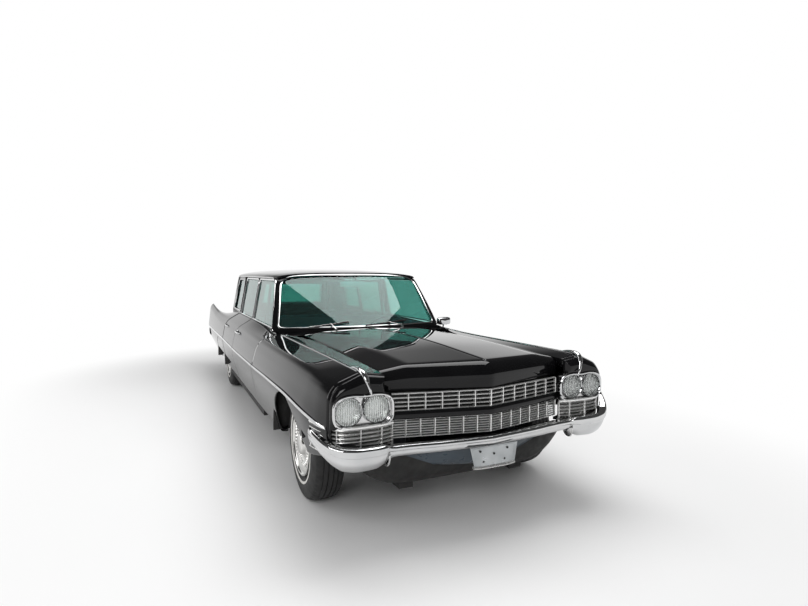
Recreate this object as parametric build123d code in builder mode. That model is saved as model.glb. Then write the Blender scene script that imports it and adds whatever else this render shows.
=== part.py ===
# A long formal limousine of the 1960s: separate body panels, glass, chrome, cabin and running gear.
# The car faces -Y, its driver sits on the +X side, +Z is up, and the ground is at zero.
import math
import os

from build123d import *

# Overall sizes
wheelbase = 3805.0
front_overhang = 906.5
rear_overhang = 1481.5
overall_width = 2024.0
overall_height = 1499.0
belt_height = 1000.0

# Wheels and tyres
wheel_inset = 237.5
tyre_diameter = 718.0
tyre_width = 208.0
rim_diameter = 381.0
rim_width = 152.0
rim_wall = 6.0
rim_lip = 14.0
disc_wall = 10.0
hub_radius = 62.0
spindle_radius = 20.0
running_gap = 0.05
seat_gap = 0.3
kingpin_inset = 74.5
kingpin_radius = 14.0
knuckle_height = 150.0
knuckle_width = 60.0
arm_thick = 26.0
arm_width = 70.0

# Body panels
panel_gap = 6.0
swing_gap = 16.0
skin = 14.0
hood_skin = 18.0
door_bevel = 40.0
shoulder_radius = 45.0
ridge_radius = 20.0
flange_drop = 70.0
sill_height = 56.0
rest_width = 24.0
lid_rise = 100.0
overrun = 200.0

# Wheel openings and inner aprons
front_arch_radius = 380.0
front_arch_height = 320.0
rear_arch_radius = 375.0
rear_arch_height = 262.0
skirt_bottom = 385.0
turning_space = 235.0
tyre_space = 50.5
apron_wall = 8.0
apron_low = 360.0

# Glasshouse
roof_rise = 101.0
header_drop = 47.0
glass_thick = 6.0
frame_thick = 30.0
frame_width = 24.0
frame_gap = 40.0
roof_skin = 26.0
base_bow = 170.0
header_bow = 50.0
pillar_width = 100.0
post_deep = 50.0
screen_radius = 80.0
window_radius = 40.0
backlight_radius = 55.0

# Grille and lamps
grille_bar = 6.0
grille_depth = 12.0
upper_bars = 6
lower_bars = 8
grille_cells = 6
lamp_radius = 73.0
lamp_space = 10.0
lamp_depth = 40.0
bezel_wall = 9.0
rib_count = 6

# Bumpers
bumper_wall = 8.0
bumper_depth = 70.0
bumper_radius = 12.0
iron_width = 50.0
plate_half = 157.0
plate_hole_spacing = 177.8
plate_hole_radius = 3.5

# Cabin
division_thick = 30.0
wheel_rim_radius = 205.0
wheel_rim_thick = 12.0
wheel_rise = 240.0
column_reach = 130.0
column_lean = 85.0
dash_radius = 20.0

# Underbody
floor_thick = 20.0
floor_height = 290.0
kick_height = 590.0
trunk_height = 500.0
rail_width = 90.0
rail_depth = 95.0

# Running gear
spindle_reach = 40.0
disc_space = 60.0
axle_radius = 40.0
shaft_radius = 30.0
shaft_low = 208.0
spring_radius = 44.0
pipe_radius = 24.0
silencer_width = 170.0
tank_depth = 200.0
tank_radius = 25.0
tyre_seat = 0.3
bulge_share = 0.48
shoulder_out_share = 0.96
shoulder_up_share = 0.84
tread_share = 0.70
tread_radius = 24.0

# Seats
seat_long = 620.0
seat_top = 620.0
seat_back_top = 930.0
seat_back_thick = 150.0
seat_radius = 50.0
cushion_gap_share = 1.6
rear_cushion_share = 0.7

# Mirror
mirror_reach = 64.0
mirror_wide = 150.0
mirror_deep = 45.0
mirror_tall = 75.0
mirror_drop = 28.0
mirror_foot = 12.0

# Places along the car: 0 at the nose, 1 and 2 at the axles, 3 at the tail
grille_share = 0.0568
lamp_share = 0.1892
apron_share = 0.3933
engine_front_share = 0.5918
engine_rear_share = 1.1288
hood_share = 1.2681
cowl_share = 1.3049
base_share = 1.3290
mirror_share = 1.3443
dash_share = 1.3811
header_share = 1.4158
division_share = 1.5979
post_share = 1.6347
shaft_share = 1.7911
quarter_share = 1.8662
quarter_window_share = 2.0506
shelf_share = 2.1654
backlight_top_share = 2.1789
backlight_share = 2.2362
deck_share = 2.3004
tail_share = 2.9011

# Places across the car, as shares of half its width
narrow_share = 0.1087
engine_share = 0.2964
driver_share = 0.3755
front_rail_share = 0.3854
rear_rail_share = 0.4447
backlight_half_share = 0.4447
pipe_share = 0.5435
grille_half_share = 0.5534
hood_edge_share = 0.5978
deck_edge_share = 0.6403
header_half_share = 0.6759
seat_half_share = 0.6818
rail_share = 0.6976
floor_half_share = 0.7312
door_inner_share = 0.7431
glass_share = 0.7767
base_half_share = 0.7806
sill_share = 0.8874

# Places upward, as shares of the belt height
plate_low_share = 0.376
iron_share = 0.438
plate_hole_share = 0.478
plate_top_share = 0.500
grille_low_share = 0.566
rib_share = 0.600
split_low_share = 0.667
dash_low_share = 0.690
split_top_share = 0.706
lamp_height_share = 0.749
engine_top_share = 0.800
grille_top_share = 0.806
cowl_height_share = 0.945
belt_share = 0.972

overall_length = front_overhang + wheelbase + rear_overhang
half_length = overall_length / 2
half_width = overall_width / 2
front_axle = -half_length + front_overhang
rear_axle_at = front_axle + wheelbase


def place(share):
    """A place along the car, read between the nose, the two axles and the tail."""
    marks = (-half_length, front_axle, rear_axle_at, half_length)
    span = min(int(share), len(marks) - 2)
    return marks[span] + (marks[span + 1] - marks[span]) * (share - span)


grille_line = place(grille_share)
lamp_line = place(lamp_share)
apron_line = place(apron_share)
engine_front = place(engine_front_share)
engine_rear = place(engine_rear_share)
hood_line = place(hood_share)
cowl_line = place(cowl_share)
base_line = place(base_share)
mirror_line = place(mirror_share)
dash_line = place(dash_share)
header_line = place(header_share)
division_line = place(division_share)
post_line = place(post_share)
shaft_front = place(shaft_share)
quarter_line = place(quarter_share)
quarter_window_rear = place(quarter_window_share)
shelf_line = place(shelf_share)
backlight_top = place(backlight_top_share)
backlight_line = place(backlight_share)
deck_line = place(deck_share)
tail_line = place(tail_share)

narrow_out = narrow_share * half_width
engine_half = engine_share * half_width
driver_out = driver_share * half_width
front_rail_out = front_rail_share * half_width
rear_rail_out = rear_rail_share * half_width
backlight_half = backlight_half_share * half_width
pipe_out = pipe_share * half_width
grille_half = grille_half_share * half_width
hood_edge = hood_edge_share * half_width
deck_edge = deck_edge_share * half_width
header_half = header_half_share * half_width
seat_half = seat_half_share * half_width
rail_out = rail_share * half_width
floor_half = floor_half_share * half_width
door_inner = door_inner_share * half_width
glass_out = glass_share * half_width
base_half = base_half_share * half_width
sill_out = sill_share * half_width

plate_low = plate_low_share * belt_height
iron_low = iron_share * belt_height
plate_hole_height = plate_hole_share * belt_height
plate_top = plate_top_share * belt_height
grille_low = grille_low_share * belt_height
rib_low = rib_share * belt_height
split_low = split_low_share * belt_height
dash_low = dash_low_share * belt_height
split_top = split_top_share * belt_height
lamp_height = lamp_height_share * belt_height
engine_top = engine_top_share * belt_height
grille_top = grille_top_share * belt_height
cowl_height = cowl_height_share * belt_height
belt_line = belt_share * belt_height

wheel_out = half_width - wheel_inset
wheel_height = tyre_diameter / 2
kingpin_out = wheel_out - kingpin_inset
front_apron_out = kingpin_out - turning_space
rear_apron_out = wheel_out - tyre_width / 2 - tyre_space
lamp_inner = grille_half + bezel_wall * 3 + lamp_radius
lamp_outer = lamp_inner + 2 * lamp_radius + lamp_space
rib_top = lamp_height - lamp_radius - bezel_wall
rib_out = lamp_outer + lamp_radius + bezel_wall + panel_gap
lid_low = trunk_height + lid_rise
mirror_in = glass_out + mirror_reach
rail_height = overall_height - roof_rise
header_height = overall_height - header_drop
tumble = math.atan2(glass_out - rail_out, rail_height - belt_line)
rail_slope = math.hypot(glass_out - rail_out, rail_height - belt_line)

# Body side sections: a place along, then shares of half width (out) and of belt height (up)
side_shares = (
    # along, rocker out, rocker up, trim out, trim up, shoulder out, shoulder up, ridge out, ridge up
    (0.1892, 0.866, 0.515, 0.908, 0.651, 0.884, 0.866, 0.728, 0.935),
    (0.3271, 0.894, 0.470, 0.947, 0.668, 0.905, 0.877, 0.728, 0.937),
    (0.5477, 0.904, 0.420, 0.973, 0.690, 0.915, 0.884, 0.728, 0.937),
    (0.9890, 0.907, 0.345, 0.988, 0.709, 0.923, 0.886, 0.728, 0.935),
    (1.3049, 0.907, 0.325, 0.994, 0.684, 0.935, 0.877, 0.751, 0.940),
    (1.6281, 0.907, 0.322, 0.996, 0.667, 0.941, 0.872, 0.791, 0.966),
    (1.8662, 0.907, 0.322, 0.997, 0.668, 0.944, 0.876, 0.805, 0.970),
    (2.3004, 0.907, 0.335, 1.000, 0.660, 0.945, 0.898, 0.816, 0.910),
    (2.5974, 0.909, 0.365, 1.000, 0.656, 0.944, 0.938, 0.826, 0.860),
    (2.9281, 0.914, 0.410, 1.000, 0.652, 0.942, 0.982, 0.838, 0.800),
)
station_gap_share = 0.05

# Hood profiles: a share of the hood's edge, then places along and shares of belt height (up)
hood_shares = (
    # out, rear up, middle up, break along, break up, crest along, crest up, lip along, lip up
    (0.0, 0.972, 1.000, 0.1041, 0.960, 0.0410, 0.908, 0.0615, 0.812),
    (0.745, 0.960, 0.974, 0.2289, 0.948, 0.1776, 0.897, 0.1947, 0.812),
    (0.995, 0.938, 0.936, 0.2664, 0.916, 0.2255, 0.880, 0.2357, 0.812),
)
hood_middle_share = 1.0059
hood_rest_share = 0.916
lid_crown_shares = ((-1.0, 0.0), (-0.55, 0.75), (0.0, 1.0), (0.55, 0.75), (1.0, 0.0))
apron_ledge_share = 0.62

side_radii = (0, 0, shoulder_radius, ridge_radius)
quarter_radii = (frame_width, window_radius, window_radius, frame_width)
backlight_radii = (backlight_radius,) * 4

# Roof sections: a place along, then shares of the rail's reach (out) and of the roof's rise (up)
roof_shares = (
    # along, side out, side up, centre up
    (1.4059, 0.975, 0.228, 0.555),
    (1.6163, 1.020, 0.406, 0.941),
    (1.8604, 1.020, 0.406, 0.985),
    (2.1702, 0.990, 0.228, 0.703),
)

# Bumper sections: a share of half width, places along and shares of belt height
front_bumper_shares = (
    # out, face along, back along, low, high
    (0.000, 0.0130, 0.0444, 0.482, 0.545),
    (0.560, 0.0820, 0.1367, 0.482, 0.550),
    (0.630, 0.0614, 0.1367, 0.438, 0.562),
    (0.790, 0.0547, 0.1367, 0.430, 0.572),
    (0.915, 0.1298, 0.1776, 0.460, 0.590),
    (0.988, 0.2049, 0.2289, 0.575, 0.640),
)
rear_bumper_shares = (
    # out, face along, back along, low, high
    (0.000, 3.0000, 2.9540, 0.430, 0.600),
    (0.700, 3.0000, 2.9540, 0.430, 0.610),
    (0.920, 2.9791, 2.9206, 0.430, 0.700),
    (0.988, 2.9373, 2.9081, 0.460, 0.690),
)

# Stations of the floor's steps and of the frame's bends, as places along
floor_shares = (1.2948, 1.8441, 1.9255, 2.2267, 2.3521, 2.8537)
frame_shares = (0.3757, 1.2175, 1.4291, 1.7709, 1.9011, 2.7911)


def side_at(along):
    """The body side's four corners (out, up) at a station, read between the rows of the table."""
    lower = max([row for row in side_shares if place(row[0]) <= along], default=side_shares[0])
    upper = min([row for row in side_shares if place(row[0]) >= along], default=side_shares[-1])
    span = place(upper[0]) - place(lower[0])
    blend = 0 if span == 0 else (along - place(lower[0])) / span
    mixed = [a + (b - a) * blend for a, b in zip(lower[1:], upper[1:])]
    return [(mixed[i] * half_width, mixed[i + 1] * belt_height) for i in (0, 2, 4, 6)]


def inset(points, wall):
    """An open outline moved to its left by a wall, with its corners kept."""
    headings = [math.atan2(b[1] - a[1], b[0] - a[0]) for a, b in zip(points, points[1:])]
    moved = []
    for i, point in enumerate(points):
        first = headings[max(i - 1, 0)]
        second = headings[min(i, len(headings) - 1)]
        turn = (second - first + math.pi) % (2 * math.pi) - math.pi
        reach = wall / math.cos(turn / 2)
        heading = first + turn / 2
        moved.append((point[0] - reach * math.sin(heading), point[1] + reach * math.cos(heading)))
    return moved


def outline(plane, points):
    """A closed face with straight edges on a plane."""
    with BuildSketch(plane) as face:
        with BuildLine():
            Polyline(*points, close=True)
        make_face()
    return face.sketch


def rounded(plane, points, radii):
    """A closed face on a plane with a radius for each corner."""
    with BuildSketch(plane) as face:
        with BuildLine():
            Polyline(*points, close=True)
        make_face()
        for point, radius in zip(points, radii):
            if radius > 0:
                fillet(face.vertices().sort_by_distance(point)[0], radius=radius)
    return face.sketch


def wall_face(plane, points, wall, radii=()):
    """A closed strip on a plane: an open outline and its copy moved to the left by a wall."""
    outer = [*radii, *[0] * (len(points) - len(radii))]
    inner = [max(radius - wall, 0) for radius in outer]
    return rounded(plane, [*points, *reversed(inset(points, wall))], [*outer, *reversed(inner)])


def bowed_strip(height, line, half, bow, front, wall):
    """A level strip that bows forward between its ends, as a windshield is cut at one height."""
    with BuildSketch(Plane.XY.offset(height)) as strip:
        with BuildLine():
            ThreePointArc((-half, line + front), (0, line - bow + front), (half, line + front))
            Line((half, line + front), (half, line + front + wall))
            ThreePointArc((half, line + front + wall), (0, line - bow + front + wall),
                          (-half, line + front + wall))
            Line((-half, line + front + wall), (-half, line + front))
        make_face()
    return strip.sketch


def across(along):
    """The plane that cuts the car across at a station."""
    return Plane.XZ.offset(-along)


def stations(start, end):
    """The stations of a panel: its two ends and the table rows well between them."""
    margin = (end - start) * station_gap_share
    inner = [place(row[0]) for row in side_shares]
    return [start, *[y for y in inner if start + margin < y < end - margin], end]


def save(builder, node):
    """Labels a finished piece and writes it."""
    builder.part.label = node
    export_step(builder.part, f"parts/{node}.step")
    return builder


def block(out, along, up, mode=Mode.ADD):
    """A block between two values each of out, along and up."""
    middle = tuple((pair[0] + pair[1]) / 2 for pair in (out, along, up))
    with Locations(middle):
        Box(out[1] - out[0], along[1] - along[0], up[1] - up[0], mode=mode)


def rod(start, end, radius, mode=Mode.ADD):
    """A round rod between two points."""
    path = Vector(*end) - Vector(*start)
    with BuildSketch(Plane(origin=start, z_dir=path)) as section:
        Circle(radius)
    extrude(section.sketch, amount=path.length, mode=mode)


def arch_cut(axle, height, radius):
    """Cuts a wheel opening through the side."""
    with BuildSketch(Plane.YZ.offset(door_inner)) as opening:
        with Locations((axle, height)):
            Circle(radius)
    extrude(opening.sketch, amount=overrun * 2, mode=Mode.SUBTRACT)


def glass_plane(depth):
    """The leaning plane of the side windows, some depth inside its outer face."""
    normal = Vector(math.cos(tumble), 0, math.sin(tumble))
    origin = Vector(glass_out, 0, belt_line) - normal * depth
    return Plane(origin=origin, x_dir=(0, 1, 0), z_dir=normal)


# The lower body


def front_fenders():
    """Both front fenders, each an outer skin from rocker to hood edge with an inner apron."""
    rear = cowl_line - panel_gap
    firewall = cowl_line - seat_gap
    faces = []
    for along in stations(lamp_line, rear):
        corners = side_at(along)
        edge_up = corners[3][1] - skin
        outer = [*corners, (hood_edge + panel_gap / 2, edge_up),
                 (hood_edge + panel_gap / 2, edge_up - flange_drop)]
        faces.append(wall_face(across(along), outer, skin, side_radii))
    ledge = side_at(front_axle)[3][1] - skin - flange_drop
    slot = arm_width
    shell_back = grille_depth * 3 / 2 + grille_bar / 2
    with BuildPart() as fenders:
        loft(faces, ruled=True)
        arch_cut(front_axle, front_arch_height, front_arch_radius)
        block((front_apron_out, hood_edge + skin), (apron_line, firewall), (ledge, ledge + apron_wall))
        block((front_apron_out - apron_wall, front_apron_out), (apron_line, firewall),
              (apron_low, ledge + apron_wall))
        block((front_apron_out - skin, front_apron_out + skin), (front_axle - slot, front_axle + slot),
              (apron_low, wheel_height + knuckle_height / 2 + arm_thick * 2), Mode.SUBTRACT)
        extrude(outline(across(lamp_line), cap_points()), amount=-skin)
        for along in (hood_line - overrun, apron_line + overrun):
            block((hood_edge - rest_width * 2, hood_edge - rest_width), (along - rest_width, along),
                  (ledge, hood_rest_share * belt_height))
        add(hood_shell(hood_skin + seat_gap).part, mode=Mode.SUBTRACT)
        mirror(about=Plane.YZ)
        middle = vee_strip(split_low, grille_half, grille_depth * 2, 0)
        extrude(middle, amount=split_top - split_low)
        back = vee_strip(grille_low, grille_half, grille_depth, shell_back)
        extrude(back, amount=grille_top - grille_low)
    return save(fenders, "front_fenders")


def cap_points():
    """The outline of the plate that closes a fender's front end around its lamps."""
    rocker, trim, shoulder, ridge = side_at(lamp_line)
    return [rocker, trim, shoulder, ridge, (hood_edge + panel_gap / 2, ridge[1] - skin),
            (hood_edge + panel_gap / 2, grille_top), (grille_half, grille_top), (grille_half, rocker[1])]


def rear_quarters():
    """Both rear quarters with their fins, the wheelhouse walls and the deck between them."""
    front = quarter_line
    faces = []
    for along in stations(front, tail_line):
        corners = side_at(along)
        outer = [*corners, (deck_edge + panel_gap / 2, corners[3][1]),
                 (deck_edge + panel_gap / 2, corners[3][1] - flange_drop)]
        faces.append(wall_face(across(along), outer, skin))
    floor_top = kick_height + floor_thick
    ledge = floor_top + (side_at(tail_line)[3][1] - floor_top) * apron_ledge_share
    end = tail_line - 2 * skin
    behind = place(floor_shares[4])
    deck_up = side_at(deck_line)[3][1]
    deck_half = deck_edge + panel_gap / 2 + skin
    with BuildPart() as quarters:
        loft(faces, ruled=True)
        arch_cut(rear_axle_at, rear_arch_height, rear_arch_radius)
        block((rear_apron_out - apron_wall, rear_apron_out), (front, end),
              (floor_top, ledge + apron_wall))
        block((rear_apron_out - apron_wall, rear_apron_out), (behind, end),
              (trunk_height + floor_thick, floor_top))
        block((rear_apron_out, deck_edge + skin), (front, end), (ledge, ledge + apron_wall))
        for along in (deck_line + overrun / 2, tail_line - overrun / 2):
            block((rear_apron_out, deck_edge - panel_gap), (along - rest_width, along),
                  (ledge, side_at(along)[3][1] - skin / 2))
        add(lid_shell(skin + seat_gap).part, mode=Mode.SUBTRACT)
        mirror(about=Plane.YZ)
        block((-deck_half, deck_half), (shelf_line, deck_line - panel_gap), (deck_up - skin, deck_up))
    return save(quarters, "rear_quarters")


def rear_skirts():
    """The two skirts that close the upper part of the rear wheel openings."""
    front = rear_axle_at - rear_arch_radius
    rear = rear_axle_at + rear_arch_radius
    faces = []
    for along in (front, rear):
        corners = side_at(along)
        faces.append(wall_face(across(along), corners[:3], skin))
    with BuildPart() as skirts:
        loft(faces)
        with BuildSketch(Plane.YZ.offset(door_inner)) as opening:
            with Locations((rear_axle_at, rear_arch_height)):
                Circle(rear_arch_radius - seat_gap)
            with Locations((rear_axle_at, skirt_bottom - rear_arch_radius)):
                Rectangle(rear_arch_radius * 3, rear_arch_radius * 2, mode=Mode.SUBTRACT)
        extrude(opening.sketch, amount=overrun * 2, mode=Mode.INTERSECT)
        mirror(about=Plane.YZ)
    return save(skirts, "rear_skirts")


def hood_shell(wall):
    """The hood and its nose, a ruled skin through five lengthwise profiles that leave two creases."""
    faces = []
    rows = [*reversed(hood_shares), *hood_shares[1:]]
    signs = (-1, -1, 1, 1, 1)
    for sign, row in zip(signs, rows):
        out, rear, middle, break_y, break_z, crest_y, crest_z, lip_y, lip_z = row
        profile = [(hood_line - panel_gap, rear * belt_height),
                   (place(hood_middle_share), middle * belt_height),
                   (place(break_y), break_z * belt_height),
                   (place(crest_y), crest_z * belt_height),
                   (place(lip_y), lip_z * belt_height)]
        station = sign * out * (hood_edge - panel_gap / 2)
        faces.append(wall_face(Plane.YZ.offset(station), profile, wall))
    with BuildPart() as lid:
        loft(faces, ruled=True)
    return lid


def lid_shell(wall):
    """The trunk lid, with its top, its rear face and their shared bend."""
    faces = []
    front_up = side_at(deck_line)[3][1]
    rear_up = side_at(tail_line)[3][1]
    for out, crown in lid_crown_shares:
        rise = crown * skin
        profile = [(tail_line - panel_gap, lid_low), (tail_line - panel_gap, rear_up + rise),
                   (deck_line, front_up + rise)]
        station = out * (deck_edge - panel_gap / 2)
        faces.append(wall_face(Plane.YZ.offset(station), profile, wall, (0, hood_skin + skin)))
    with BuildPart() as lid:
        loft(faces, ruled=True)
    return lid


def tail_panel():
    """The panel across the tail below and beside the trunk lid, with the ledge that the lid rests on."""
    half = side_at(tail_line)[3][0]
    top = side_at(tail_line)[3][1] - skin
    sill = lid_low - seat_gap
    lid_half = deck_edge + panel_gap / 2
    with BuildPart() as tail:
        block((-half, half), (tail_line, tail_line + apron_wall), (trunk_height, sill))
        block((-half, -lid_half), (tail_line, tail_line + apron_wall), (sill, top))
        block((lid_half, half), (tail_line, tail_line + apron_wall), (sill, top))
        block((-deck_edge, deck_edge), (tail_line - panel_gap - skin, tail_line), (sill - skin, sill))
    save(tail, "tail_panel")


def cowl():
    """The firewall, the cowl top under the windshield and the posts that the front doors hang on."""
    front = hood_line
    rear = base_line + frame_thick
    floor_top = floor_height + floor_thick
    with BuildPart() as panel:
        half = hood_edge + panel_gap / 2
        block((-half, half), (front, cowl_line), (cowl_height - skin, cowl_height))
        block((-base_half, base_half), (cowl_line, rear), (cowl_height - skin, cowl_height))
        block((-floor_half, floor_half), (cowl_line, cowl_line + skin), (floor_top, cowl_height))
    return save(panel, "cowl")


def door(name, front, rear, low_front, low_rear, top_front, top_rear, notch):
    """A door and its glass, left and right: the thick lower door and its window frame in one piece."""
    faces = []
    for along in stations(front, rear):
        corners = side_at(along)
        section = [*corners, (door_inner, corners[3][1]), (door_inner, corners[0][1])]
        faces.append(rounded(across(along), section, [*side_radii, 0, 0]))
    far = half_width + overrun
    near = door_inner - overrun
    bevel = [(far, rear), (half_width, rear), (door_inner, rear - door_bevel), (near, rear - door_bevel),
             (near, rear + overrun), (far, rear + overrun)]
    inner_radius = window_radius - frame_width
    frame = frame_points(low_front, low_rear, top_front, top_rear, 0)
    opening = frame_points(low_front, low_rear, top_front, top_rear, frame_width)
    hole = rounded(glass_plane(0), opening, (0, 0, inner_radius, inner_radius))
    with BuildPart() as panel:
        loft(faces, ruled=True)
        extrude(outline(Plane.XY, bevel), amount=belt_height * 2, mode=Mode.SUBTRACT)
        extrude(rounded(glass_plane(0), frame, (0, 0, window_radius, window_radius)), amount=-frame_thick)
        extrude(hole, amount=-frame_thick, mode=Mode.SUBTRACT)
        block((near, base_half + swing_gap), (front - overrun, front + notch),
              (cowl_height - skin - panel_gap, belt_height), Mode.SUBTRACT)
    save(panel, f"{name}_left")
    with BuildPart() as glass:
        inside = (frame_thick - glass_thick) / 2
        pane = rounded(glass_plane(inside), opening, (0, 0, inner_radius, inner_radius))
        extrude(pane, amount=-glass_thick)
    save(glass, f"{name}_glass_left")
    with BuildPart() as panel_right:
        add(panel.part)
        mirror(about=Plane.YZ, mode=Mode.REPLACE)
    save(panel_right, f"{name}_right")
    with BuildPart() as glass_right:
        add(glass.part)
        mirror(about=Plane.YZ, mode=Mode.REPLACE)
    save(glass_right, f"{name}_glass_right")
    return panel


def frame_points(low_front, low_rear, top_front, top_rear, inside):
    """A window frame's outline on the leaning plane, or the opening that lies inside it."""
    low = inside - frame_width
    return [(low_front + inside, low), (low_rear - inside, low),
            (top_rear - inside, rail_slope - inside), (top_front + inside, rail_slope - inside)]


def doors():
    """The front and rear doors of both sides with their glasses."""
    lean = (header_line - base_line) / (header_height - cowl_height)
    low_front = base_line + frame_thick + panel_gap * 3 / 2 + lean * (belt_line - frame_width - cowl_height)
    top_front = low_front + lean * (rail_height - belt_line + frame_width)
    middle = post_line - frame_gap / 2
    notch = low_front - cowl_line
    rear = post_line - panel_gap / 2
    front_door = door("front_door", cowl_line, rear, low_front, middle, top_front, middle, notch)
    start = post_line + frame_gap / 2
    end = quarter_line - swing_gap
    door("rear_door", post_line + panel_gap / 2, quarter_line - panel_gap, start, end, start, end, 0)
    door_mirror(front_door)


# The glasshouse


def front_prism(inside):
    """The front outline of the windshield frame, or of the opening inside it."""
    low = cowl_height + inside
    side = rail_height + panel_gap - inside
    points = [(-base_half + inside, low), (base_half - inside, low), (header_half - inside, side),
              (0, header_height - inside), (inside - header_half, side)]
    low_radius = inside
    high_radius = screen_radius if inside else 0
    radii = (low_radius, low_radius, high_radius, 0, high_radius)
    return rounded(across(base_line - base_bow - overrun), points, radii)


def windshield_strip(front, wall):
    """The two level strips between which the windshield or its frame is lofted."""
    return [bowed_strip(cowl_height, base_line, base_half, base_bow, front, wall),
            bowed_strip(header_height, header_line, header_half, header_bow, front, wall)]


def windshield():
    """The bowed windshield glass."""
    deep = base_bow + overrun * 3
    with BuildPart() as glass:
        loft(windshield_strip((frame_thick - glass_thick) / 2, glass_thick))
        extrude(front_prism(frame_width), amount=-deep, mode=Mode.INTERSECT)
    save(glass, "windshield")


def roof_face(along, side, side_up, centre_up):
    """One section of the roof skin with its drip edges."""
    low = rail_height + panel_gap
    inner = side - roof_skin
    with BuildSketch(across(along)) as face:
        with BuildLine():
            ThreePointArc((-side, side_up), (0, centre_up), (side, side_up))
            Line((side, side_up), (side, low))
            Line((side, low), (inner, low))
            ThreePointArc((inner, low), (0, centre_up - roof_skin), (-inner, low))
            Line((-inner, low), (-side, low))
            Line((-side, low), (-side, side_up))
        make_face()
    return face.sketch


def back_plane():
    """The leaning plane of the rear window."""
    lean = math.atan2(backlight_line - backlight_top, rail_height - belt_line)
    return Plane(origin=(0, backlight_line, belt_line), x_dir=(-1, 0, 0),
                 z_dir=(0, math.cos(lean), math.sin(lean)))


def quarter_window():
    """The outline of a quarter window on the leaning plane."""
    front = quarter_line + pillar_width / 2
    return [(front, frame_width), (quarter_window_rear, frame_width),
            (quarter_window_rear - frame_width * 2, rail_slope - frame_width * 2),
            (front, rail_slope - frame_width)]


def rear_window():
    """The outline of the small formal rear window on its own plane."""
    low = frame_width * 2
    high = rail_slope - frame_width * 5
    top_half = backlight_half - frame_width
    return [(-backlight_half, low), (backlight_half, low), (top_half, high), (-top_half, high)]


def roof():
    """The roof with its windshield frame, side rails, quarter panels and back panel."""
    faces = []
    for along, side, side_up, centre_up in roof_shares:
        faces.append(roof_face(place(along), side * rail_out, rail_height + side_up * roof_rise,
                               rail_height + centre_up * roof_rise))
    depth = frame_thick + seat_gap
    top = rail_slope + frame_width
    rear = backlight_line - frame_thick
    side_face = [(quarter_line + panel_gap, 0), (rear, 0), (backlight_top - frame_thick, top),
                 (quarter_line + panel_gap, top)]
    inner_rails = [[(front, rail_slope - frame_width), (back, rail_slope - frame_width), (back, top),
                    (front, top)] for front, back in ((header_line, post_line - frame_width),
                                                      (post_line + pillar_width, backlight_top))]
    inner_post = [(quarter_line - pillar_width, panel_gap), (quarter_line + pillar_width / 2, panel_gap),
                  (quarter_line + pillar_width / 2, top), (quarter_line - pillar_width, top)]
    back_face = [(-glass_out, 0), (glass_out, 0), (rail_out, top), (-rail_out, top)]
    deep = base_bow + overrun * 3
    with BuildPart() as screen:
        loft(windshield_strip(0, frame_thick))
        extrude(front_prism(0), amount=-deep, mode=Mode.INTERSECT)
        extrude(front_prism(frame_width), amount=-deep, mode=Mode.SUBTRACT)
    with BuildPart() as sides:
        extrude(outline(glass_plane(0), side_face), amount=-depth)
        for inner_rail in inner_rails:
            extrude(outline(glass_plane(depth), inner_rail), amount=-frame_thick)
        extrude(outline(glass_plane(depth), inner_post), amount=-frame_thick)
        extrude(rounded(glass_plane(0), quarter_window(), quarter_radii), amount=-2 * depth,
                mode=Mode.SUBTRACT)
        mirror(about=Plane.YZ)
    with BuildPart() as top_part:
        loft(faces)
        extrude(outline(back_plane(), back_face), amount=-frame_thick)
        extrude(rounded(back_plane(), rear_window(), backlight_radii), amount=-frame_thick,
                mode=Mode.SUBTRACT)
        add(sides.part)
        add(screen.part)
        block((-half_width, half_width), (base_line - overrun, backlight_line + overrun),
              (belt_line - overrun, belt_line), Mode.SUBTRACT)
        add(windshield_foot())
    save(top_part, "roof")


def windshield_foot():
    """The lower rail of the windshield frame, which stands on the cowl."""
    deep = base_bow + overrun * 3
    with BuildPart() as foot:
        loft(windshield_strip(0, frame_thick))
        extrude(front_prism(0), amount=-deep, mode=Mode.INTERSECT)
        extrude(front_prism(frame_width), amount=-deep, mode=Mode.SUBTRACT)
        block((-half_width, half_width), (base_line - base_bow - overrun, base_line + overrun),
              (belt_line, overall_height), Mode.SUBTRACT)
    return foot.part


def cabin_glass():
    """The rear window, the two quarter windows and the two panes of the division."""
    inside = (frame_thick - glass_thick) / 2
    with BuildPart() as glass:
        extrude(rounded(glass_plane(inside), quarter_window(), quarter_radii), amount=-glass_thick)
        mirror(about=Plane.YZ)
        back = back_plane()
        extrude(rounded(back.offset(-inside), rear_window(), backlight_radii), amount=-glass_thick)
        pane = division_line + (division_thick - glass_thick) / 2
        extrude(outline(across(pane), division_outline(frame_width)), amount=-glass_thick)
        block((-frame_width / 2, frame_width / 2), (division_line, division_line + division_thick),
              (belt_line, rail_height), Mode.SUBTRACT)
    save(glass, "cabin_glass")


def centre_pillars():
    """The posts between the front and rear doors."""
    rear = post_line - panel_gap - frame_width
    front = rear - pillar_width
    depth = frame_thick + seat_gap
    upper = [(front, panel_gap), (rear, panel_gap), (rear, rail_slope - frame_width),
             (front, rail_slope - frame_width)]
    with BuildPart() as pillars:
        block((door_inner - post_deep, door_inner - seat_gap), (front, rear),
              (floor_height + floor_thick, belt_line + panel_gap * 2))
        extrude(outline(glass_plane(depth), upper), amount=-frame_thick)
        mirror(about=Plane.YZ)
    save(pillars, "centre_pillars")


# Chrome


def vee_strip(height, half, deep, front):
    """A level strip that follows the grille's vee in plan."""
    slope = (lamp_line - grille_line) / grille_half
    centre = grille_line + front
    end = centre + slope * half
    return outline(Plane.XY.offset(height), [(-half, end), (0, centre), (half, end), (half, end + deep),
                                             (0, centre + deep), (-half, end + deep)])


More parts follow.
